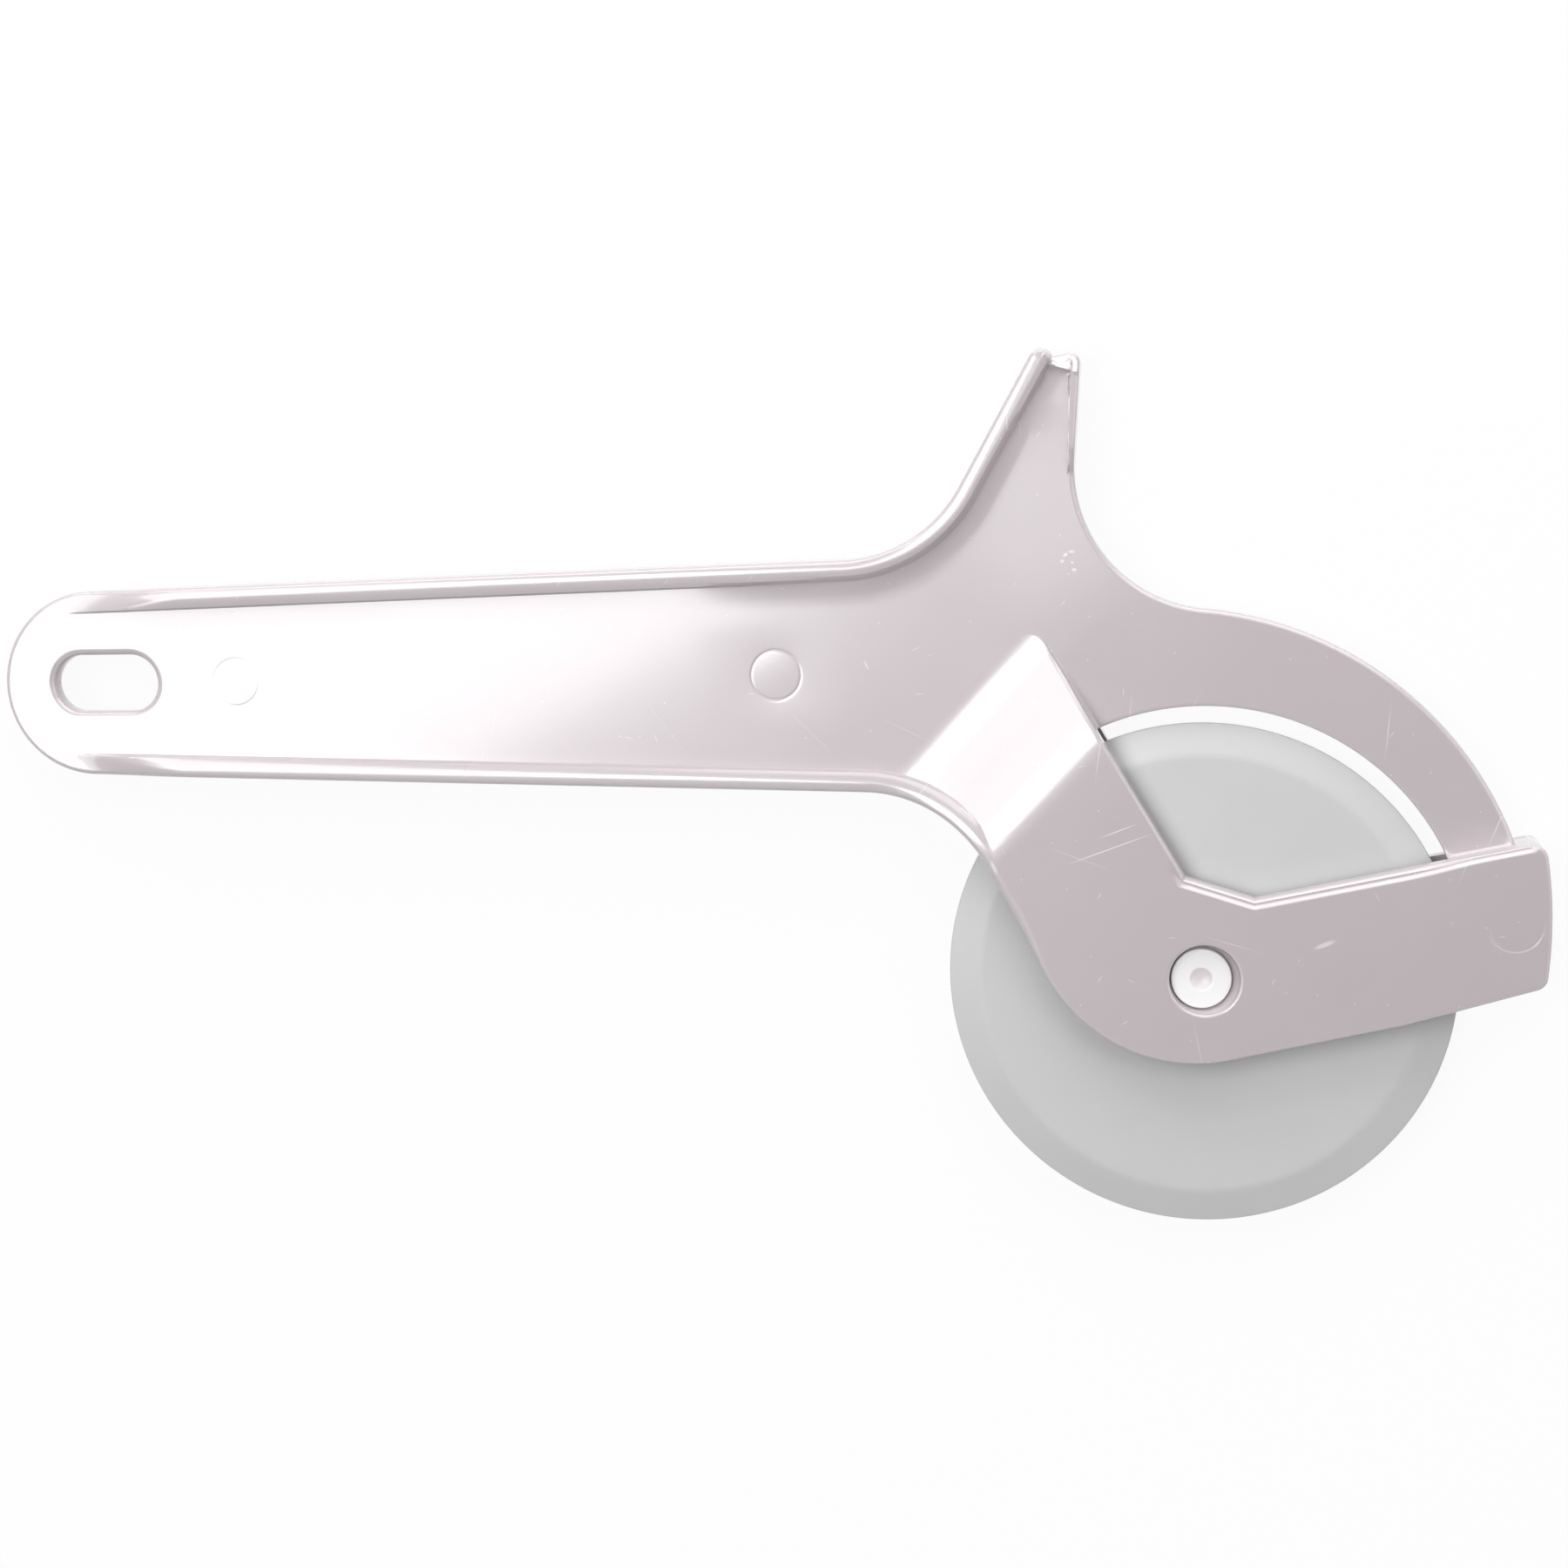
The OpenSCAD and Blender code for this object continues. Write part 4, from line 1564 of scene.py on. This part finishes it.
class Lathe:
    """A node tree that turns a section about the wheel's axis."""

    WELD = 1e-7
    GIVEN = {"Section": "Geometry", "Steps round": "Int", "Weld": "Float", "Material": "Material"}

    def __init__(self, origin: Vector) -> None:
        """Builds the tree.

        Args:
            origin: The wheel's centre in the frame, in metres.
        """
        self.origin = origin
        self.tree = bpy.data.node_groups.new("turned_piece", "GeometryNodeTree")
        sockets = self.tree.interface
        self.given: dict[str, str] = {}
        for name, kind in self.GIVEN.items():
            made = sockets.new_socket(name, in_out="INPUT", socket_type=f"NodeSocket{kind}")
            self.given[name] = made.identifier
        sockets.new_socket("Piece", in_out="OUTPUT", socket_type="NodeSocketGeometry")
        self.lay_out()

    def lay_out(self) -> None:
        """Lays out the nodes: a grid whose columns are the section, wrapped round the axis and welded.

        The columns run clockwise, so that the faces look outward.
        """
        tree = self.tree
        given = add_node(tree, "NodeGroupInput").outputs
        section, steps = given["Section"], given["Steps round"]
        size = add_node(tree, "GeometryNodeAttributeDomainSize", {"Geometry": section})
        count = size.outputs["Point Count"]
        columns = add_node(tree, "ShaderNodeMath", {0: steps, 1: 1.0}, operation="ADD")
        grid = add_node(tree, "GeometryNodeMeshGrid", {"Vertices X": columns, "Vertices Y": count})
        index = add_node(tree, "GeometryNodeInputIndex")
        row = add_node(tree, "ShaderNodeMath", {0: index, 1: count}, operation="MODULO")
        part = add_node(tree, "ShaderNodeMath", {0: index, 1: count}, operation="DIVIDE")
        column = add_node(tree, "ShaderNodeMath", {0: part}, operation="FLOOR")
        step = add_node(tree, "ShaderNodeMath", {0: -2 * math.pi, 1: steps}, operation="DIVIDE")
        angle = add_node(tree, "ShaderNodeMath", {0: column, 1: step}, operation="MULTIPLY")
        place = add_node(tree, "GeometryNodeInputPosition")
        wanted = {"Geometry": section, "Value": place, "Index": row}
        sample = add_node(tree, "GeometryNodeSampleIndex", wanted, data_type="FLOAT_VECTOR")
        about = {"Vector": sample, "Angle": angle}
        spot = add_node(tree, "ShaderNodeVectorRotate", about, rotation_type="Z_AXIS")
        turned = add_node(tree, "GeometryNodeSetPosition", {"Geometry": grid, "Position": spot})
        seam = {"Geometry": turned, "Distance": given["Weld"]}
        welded = add_node(tree, "GeometryNodeMergeByDistance", seam)
        real = add_node(tree, "GeometryNodeRealizeInstances", {"Geometry": welded})
        dressed = add_node(tree, "GeometryNodeSetMaterial", {"Geometry": real, "Material": given["Material"]})
        add_node(tree, "NodeGroupOutput", {"Piece": dressed})

    def turn(
        self, name: str, section: Sequence[Sequence[float]], steps: int, material: bpy.types.Material
    ) -> bpy.types.Object:
        """Turns a section into a piece.

        Args:
            name: The piece's name.
            section: Radius and height of each point in millimetres, the outside on the right of the line.
            steps: Steps round the axis.
            material: The piece's material.

        Returns:
            The piece as a plain mesh, at the origin of the frame.
        """
        outline = bpy.data.meshes.new(f"{name}_section")
        outline.from_pydata([(r * MM, 0.0, z * MM) for r, z in section], [], [])
        holder = add_object(f"{name}_section", outline)
        modifier = holder.modifiers.new("turn", "NODES")
        modifier.node_group = self.tree
        for key, value in {"Steps round": steps, "Weld": self.WELD, "Material": material}.items():
            modifier[self.given[key]] = value
        graph = bpy.context.evaluated_depsgraph_get()
        mesh = bpy.data.meshes.new_from_object(holder.evaluated_get(graph), depsgraph=graph)
        bpy.data.objects.remove(holder)
        mesh.name = name
        mesh.transform(Matrix.Translation(self.origin))
        smooth_mesh(mesh)
        return add_object(name, mesh)


@dataclass
class CuttingWheel:
    """The free-turning wheel with its bevelled edge and hub bosses."""

    radius: float = 32.5
    thickness: float = 2.6
    edge: float = 0.5
    bevel: float = 4.1
    bevel_blend: float = 0.5
    rim: float = 0.22
    bore: float = 5.9
    bore_edge: float = 0.1
    boss: float = 13.0
    boss_height: float = 0.4
    boss_edge: tuple[tuple[float, float], ...] = (
        (-0.15, 1.0),
        (0.0, 0.7),
        (0.05, 0.25),
        (0.2, 0.0),
        (0.4, 0.0),
    )
    spare: float = 0.1
    segments: int = 240

    def profile(self) -> list[tuple[float, float]]:
        """Draws the wheel's section.

        Returns:
            Radius and height of its points, from the bore round the rim and back.
        """
        flat, edge = self.thickness / 2, self.edge / 2
        raised, bore_r = flat + self.boss_height, self.bore / 2
        bevel_from, rim_from = self.radius - self.bevel, self.radius - self.rim
        blend, slope = self.bevel_blend, (flat - edge) / self.bevel
        upper = [(bore_r, raised - self.bore_edge), (bore_r + self.bore_edge, raised)]
        upper += [(self.boss / 2 + out, flat + share * self.boss_height) for out, share in self.boss_edge]
        upper += [(r, flat) for r in np.linspace(upper[-1][0], bevel_from - blend - self.spare, 12)[1:]]
        for t in np.linspace(-blend, blend, 7):
            upper.append((bevel_from + t, flat - slope * (t + blend) ** 2 / 2))
        sloping = np.linspace(bevel_from + blend + self.spare, rim_from, 6)
        upper += [(r, flat - slope * (r - bevel_from)) for r in sloping]
        tip = edge + slope * self.rim
        for t in np.linspace(0, 90, 5)[1:]:
            spot = heading(90 - t)
            upper.append((rim_from + self.rim * spot[0], tip * spot[1]))
        return upper + [(r, -z) for r, z in reversed(upper[:-1])]

    def build(self, lathe: Lathe, material: bpy.types.Material) -> bpy.types.Object:
        """Builds and dresses the wheel.

        Args:
            lathe: The tree that turns sections.
            material: The wheel's material.

        Returns:
            The wheel's object.
        """
        section = self.profile()
        return lathe.turn("bevelled_wheel", [*section, section[0]], self.segments, material)


@dataclass
class Axle:
    """The headed pin and the headed sleeve that it is pressed into."""

    seat: float = 2.9
    head_r: float = 3.85
    head: float = 1.0
    edge_r: float = 0.22
    edge_spare: float = 0.15
    dimple_r: float = 1.45
    dimple: float = 0.45
    dimple_edge: tuple[tuple[float, float], ...] = ((-0.05, -0.03), (0.06, 0.0), (0.3, 0.0))
    pin_r: float = 1.7
    sleeve_r: float = 2.9
    pin_point: float = 0.2
    squeeze: float = 0.02
    play: float = 0.2
    segments: int = 96

    def head_profile(self) -> list[tuple[float, float]]:
        """Draws the section of a head.

        Returns:
            Radius and height of its points, from the middle of the dimple to the foot of the rim.
        """
        top = self.seat + self.head
        ball = (self.dimple_r**2 + self.dimple**2) / (2 * self.dimple)
        middle = top - self.dimple + ball
        dish = [(r, middle - math.sqrt(ball * ball - r * r)) for r in np.linspace(0, self.dimple_r, 9)[:-1]]
        dish += [(self.dimple_r + out, top + up) for out, up in self.dimple_edge]
        inner = self.head_r - self.edge_r
        corner = []
        for t in range(0, 91, 15):
            spot = heading(90 - t) * self.edge_r
            corner.append((inner + spot[0], top - self.edge_r + spot[1]))
        return [*dish, (inner - self.edge_spare, top), *corner, (self.head_r, self.seat)]

    def build_pin(self, lathe: Lathe, material: bpy.types.Material) -> bpy.types.Object:
        """Builds the pin with its front head.

        Args:
            lathe: The tree that turns sections.
            material: The axle's material.

        Returns:
            The pin's object.
        """
        tail, r = self.play - self.seat, self.pin_r
        shank = [(r, self.seat), (r, tail + self.pin_point), (r - self.pin_point, tail), (0, tail)]
        return lathe.turn("axle_pin_head", [*self.head_profile(), *shank], self.segments, material)

    def build_sleeve(self, lathe: Lathe, material: bpy.types.Material) -> bpy.types.Object:
        """Builds the sleeve with its rear head.

        Args:
            lathe: The tree that turns sections.
            material: The axle's material.

        Returns:
            The sleeve's object.
        """
        mouth, bore = self.play - self.seat, self.pin_r - self.squeeze
        tube = [(self.sleeve_r, self.seat), (self.sleeve_r, mouth)]
        tube += [(bore, mouth), (bore, self.seat), (0, self.seat)]
        back = [(r, -z) for r, z in reversed([*self.head_profile(), *tube])]
        return lathe.turn("axle_sleeve_head", back, self.segments, material)


# The studio


def seen_directly(tree: Tree) -> Node:
    """Tells the rays from the camera, from a gloss or through a clear body from the others.

    Args:
        tree: The node tree.

    Returns:
        A node that gives 1 for those rays, and 0 for the others.
    """
    path = add_node(tree, "ShaderNodeLightPath").outputs
    seen = path["Is Camera Ray"]
    for ray in ("Is Glossy Ray", "Is Transmission Ray"):
        seen = add_node(tree, "ShaderNodeMath", {0: seen, 1: path[ray]}, operation="MAXIMUM")
    return seen


@dataclass(frozen=True)
class SoftBox:
    """A rectangular lamp. It hangs flat over the table, or is aimed at the object."""

    name: str
    centre: tuple[float, float, float]
    size: tuple[float, float]
    radiance: float
    spin: float = 0.0
    aimed: bool = False

    def hang(self, origin: Vector) -> None:
        """Hangs the lamp.

        Args:
            origin: The wheel's centre in the frame, in metres.
        """
        lamp = bpy.data.lights.new(self.name, "AREA")
        lamp.shape = "RECTANGLE"
        lamp.size, lamp.size_y = self.size
        lamp.energy = self.radiance * math.pi * self.size[0] * self.size[1]
        obj = add_object(self.name, lamp)
        obj.location = origin + Vector(self.centre)
        turn = Matrix.Rotation(math.radians(self.spin), 3, "Z")
        if self.aimed:
            turn = Vector(self.centre).to_track_quat("Z", "Y").to_matrix()
        obj.rotation_euler = turn.to_euler()


@dataclass
class Studio:
    """The camera, the lamps and the pale floor."""

    camera_at: tuple[float, float, float] = (3.557, 69.938, 380.0)
    roll: float = -1.275
    yaw: float = 8.445
    pitch: float = -6.885
    lens: float = 68.0
    sensor: float = 36.0
    clip_start: float = 0.01
    world: float = 0.15
    ceiling: float = 0.05
    ceiling_way: tuple[float, float, float] = (0.15, -0.2, 1.0)
    ceiling_near: float = 4.0
    ceiling_far: float = 21.0
    floor_size: float = 4.0
    floor_colour: str = "#F4F4F4"
    floor_shadow: float = 0.07
    lamps: tuple[SoftBox, ...] = (
        SoftBox("glare_box", (-0.5115, 0.0038, 1.195), (0.61, 0.298), 5.6, spin=29),
        SoftBox("glare_edge", (-0.4125, -0.1332, 1.195), (0.65, 0.034), 0.7, spin=29),
        SoftBox("glare_far", (-0.9073, -0.2204, 1.195), (0.28, 0.30), 3.0, spin=29),
        SoftBox("step_box", (-0.7906, 0.5163, 1.195), (0.61, 0.869), 3.9, spin=29),
        SoftBox("horn_box", (-0.095, 0.055, 1.195), (0.10, 0.14), 2.2, spin=29),
        SoftBox("bead_box", (-0.290, 0.130, 1.150), (0.14, 0.22), 6.0, spin=29),
        SoftBox("back_box", (0.0, 0.50, 0.16), (0.9, 0.22), 3.1, aimed=True),
        SoftBox("top_box", (0.20, 0.80, 0.80), (0.9, 0.7), 1.9, aimed=True),
        SoftBox("side_box", (0.75, 0.15, 0.60), (0.4, 0.3), 2.3, aimed=True),
        SoftBox("front_box", (0.0, -0.50, 0.30), (0.6, 0.2), 0.7, aimed=True),
    )

    def place_camera(self, origin: Vector) -> None:
        """Places the camera in front of the wheel.

        Args:
            origin: The wheel's centre in the frame, in metres.
        """
        data = bpy.data.cameras.new("camera")
        data.lens = self.lens
        data.sensor_width = self.sensor
        data.clip_start = self.clip_start
        camera = add_object("camera", data)
        turn = (
            Matrix.Rotation(math.radians(self.roll), 4, "Z")
            @ Matrix.Rotation(math.radians(self.yaw), 4, "Y")
            @ Matrix.Rotation(math.radians(self.pitch), 4, "X")
        )
        camera.matrix_world = Matrix.Translation(origin + Vector(self.camera_at) * MM) @ turn
        bpy.context.scene.camera = camera

    def lay_floor(self) -> bpy.types.Object:
        """Lays the pale floor, which looks white and keeps a faint shadow.

        Returns:
            The floor.
        """
        half = self.floor_size / 2
        mesh = bpy.data.meshes.new("floor")
        corners = [(-half, -half, 0), (half, -half, 0), (half, half, 0), (-half, half, 0)]
        mesh.from_pydata(corners, [], [(0, 1, 2, 3)])
        material = bpy.data.materials.new("white_floor")
        material.use_nodes = True
        tree = material.node_tree
        tree.nodes.clear()
        paint = add_node(tree, "ShaderNodeBsdfDiffuse", {"Color": linear(self.floor_colour)})
        glow = add_node(tree, "ShaderNodeEmission", {"Color": linear("#FFFFFF"), "Strength": 1.0})
        clear = {0: seen_directly(tree), 1: 1 - self.floor_shadow}
        share = add_node(tree, "ShaderNodeMath", clear, operation="MULTIPLY")
        mixed = add_node(tree, "ShaderNodeMixShader", {0: share, 1: paint, 2: glow})
        add_node(tree, "ShaderNodeOutputMaterial", {"Surface": mixed})
        mesh.materials.append(material)
        return add_object("floor", mesh)

    def light_world(self) -> None:
        """Sets a soft fill, seen as plain white, but for the dim ceiling round the camera in reflections."""
        scene = bpy.context.scene
        scene.world = world = bpy.data.worlds.new("studio")
        world.use_nodes = True
        tree = world.node_tree
        tree.nodes.clear()
        way = add_node(tree, "ShaderNodeTexCoord").outputs["Generated"]
        centre = Vector(self.ceiling_way).normalized()
        near = add_node(tree, "ShaderNodeVectorMath", {0: way, 1: centre}, operation="DOT_PRODUCT")
        outer, inner = (math.cos(math.radians(angle)) for angle in (self.ceiling_far, self.ceiling_near))
        dark = {0: near, 1: outer, 2: inner, 3: 1.0, 4: self.ceiling}
        strength = add_node(tree, "ShaderNodeMapRange", dark, interpolation_type="SMOOTHSTEP")
        fill, mirrored, seen = (
            add_node(tree, "ShaderNodeBackground", {"Color": linear("#FFFFFF"), "Strength": level})
            for level in (self.world, strength, 1.0)
        )
        path = add_node(tree, "ShaderNodeLightPath").outputs
        reflected = add_node(tree, "ShaderNodeMixShader", {0: seen_directly(tree), 1: fill, 2: mirrored})
        mixed = add_node(tree, "ShaderNodeMixShader", {0: path["Is Camera Ray"], 1: reflected, 2: seen})
        add_node(tree, "ShaderNodeOutputWorld", {"Surface": mixed})
        scene.view_settings.view_transform = "Standard"

    def build(self, origin: Vector) -> None:
        """Sets up the whole studio round the object.

        Args:
            origin: The wheel's centre in the frame, in metres.
        """
        self.place_camera(origin)
        self.lay_floor()
        self.light_world()
        for lamp in self.lamps:
            lamp.hang(origin)


def dress(obj: bpy.types.Object, node: str, body: str) -> None:
    """Puts a finished piece in place of its solid.

    Args:
        obj: The piece.
        node: The solid that it stands for.
        body: The body that it moves with.
    """
    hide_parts(node)
    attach(obj, body)
    LOG.info("%s: %d vertices, %d faces", obj.name, len(obj.data.vertices), len(obj.data.polygons))


def main() -> None:
    """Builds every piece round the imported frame."""
    logging.basicConfig(level=logging.INFO, format="%(name)s: %(message)s")
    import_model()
    low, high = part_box("cutting_wheel")
    origin = (low + high) / 2
    Studio().build(origin)
    shell, white = PearlPolystyrene().build(origin), AcetalPaintedGlare().build(origin)
    grey = SatinPolypropylene().build()
    lathe, axle = Lathe(origin), Axle()
    dress(Handle().build(origin, shell), "handle", "handle")
    dress(CuttingWheel().build(lathe, grey), "cutting_wheel", "wheel")
    dress(axle.build_pin(lathe, white), "axle_pin", "handle")
    dress(axle.build_sleeve(lathe, white), "axle_sleeve", "handle")


if __name__ == "__main__":
    main()
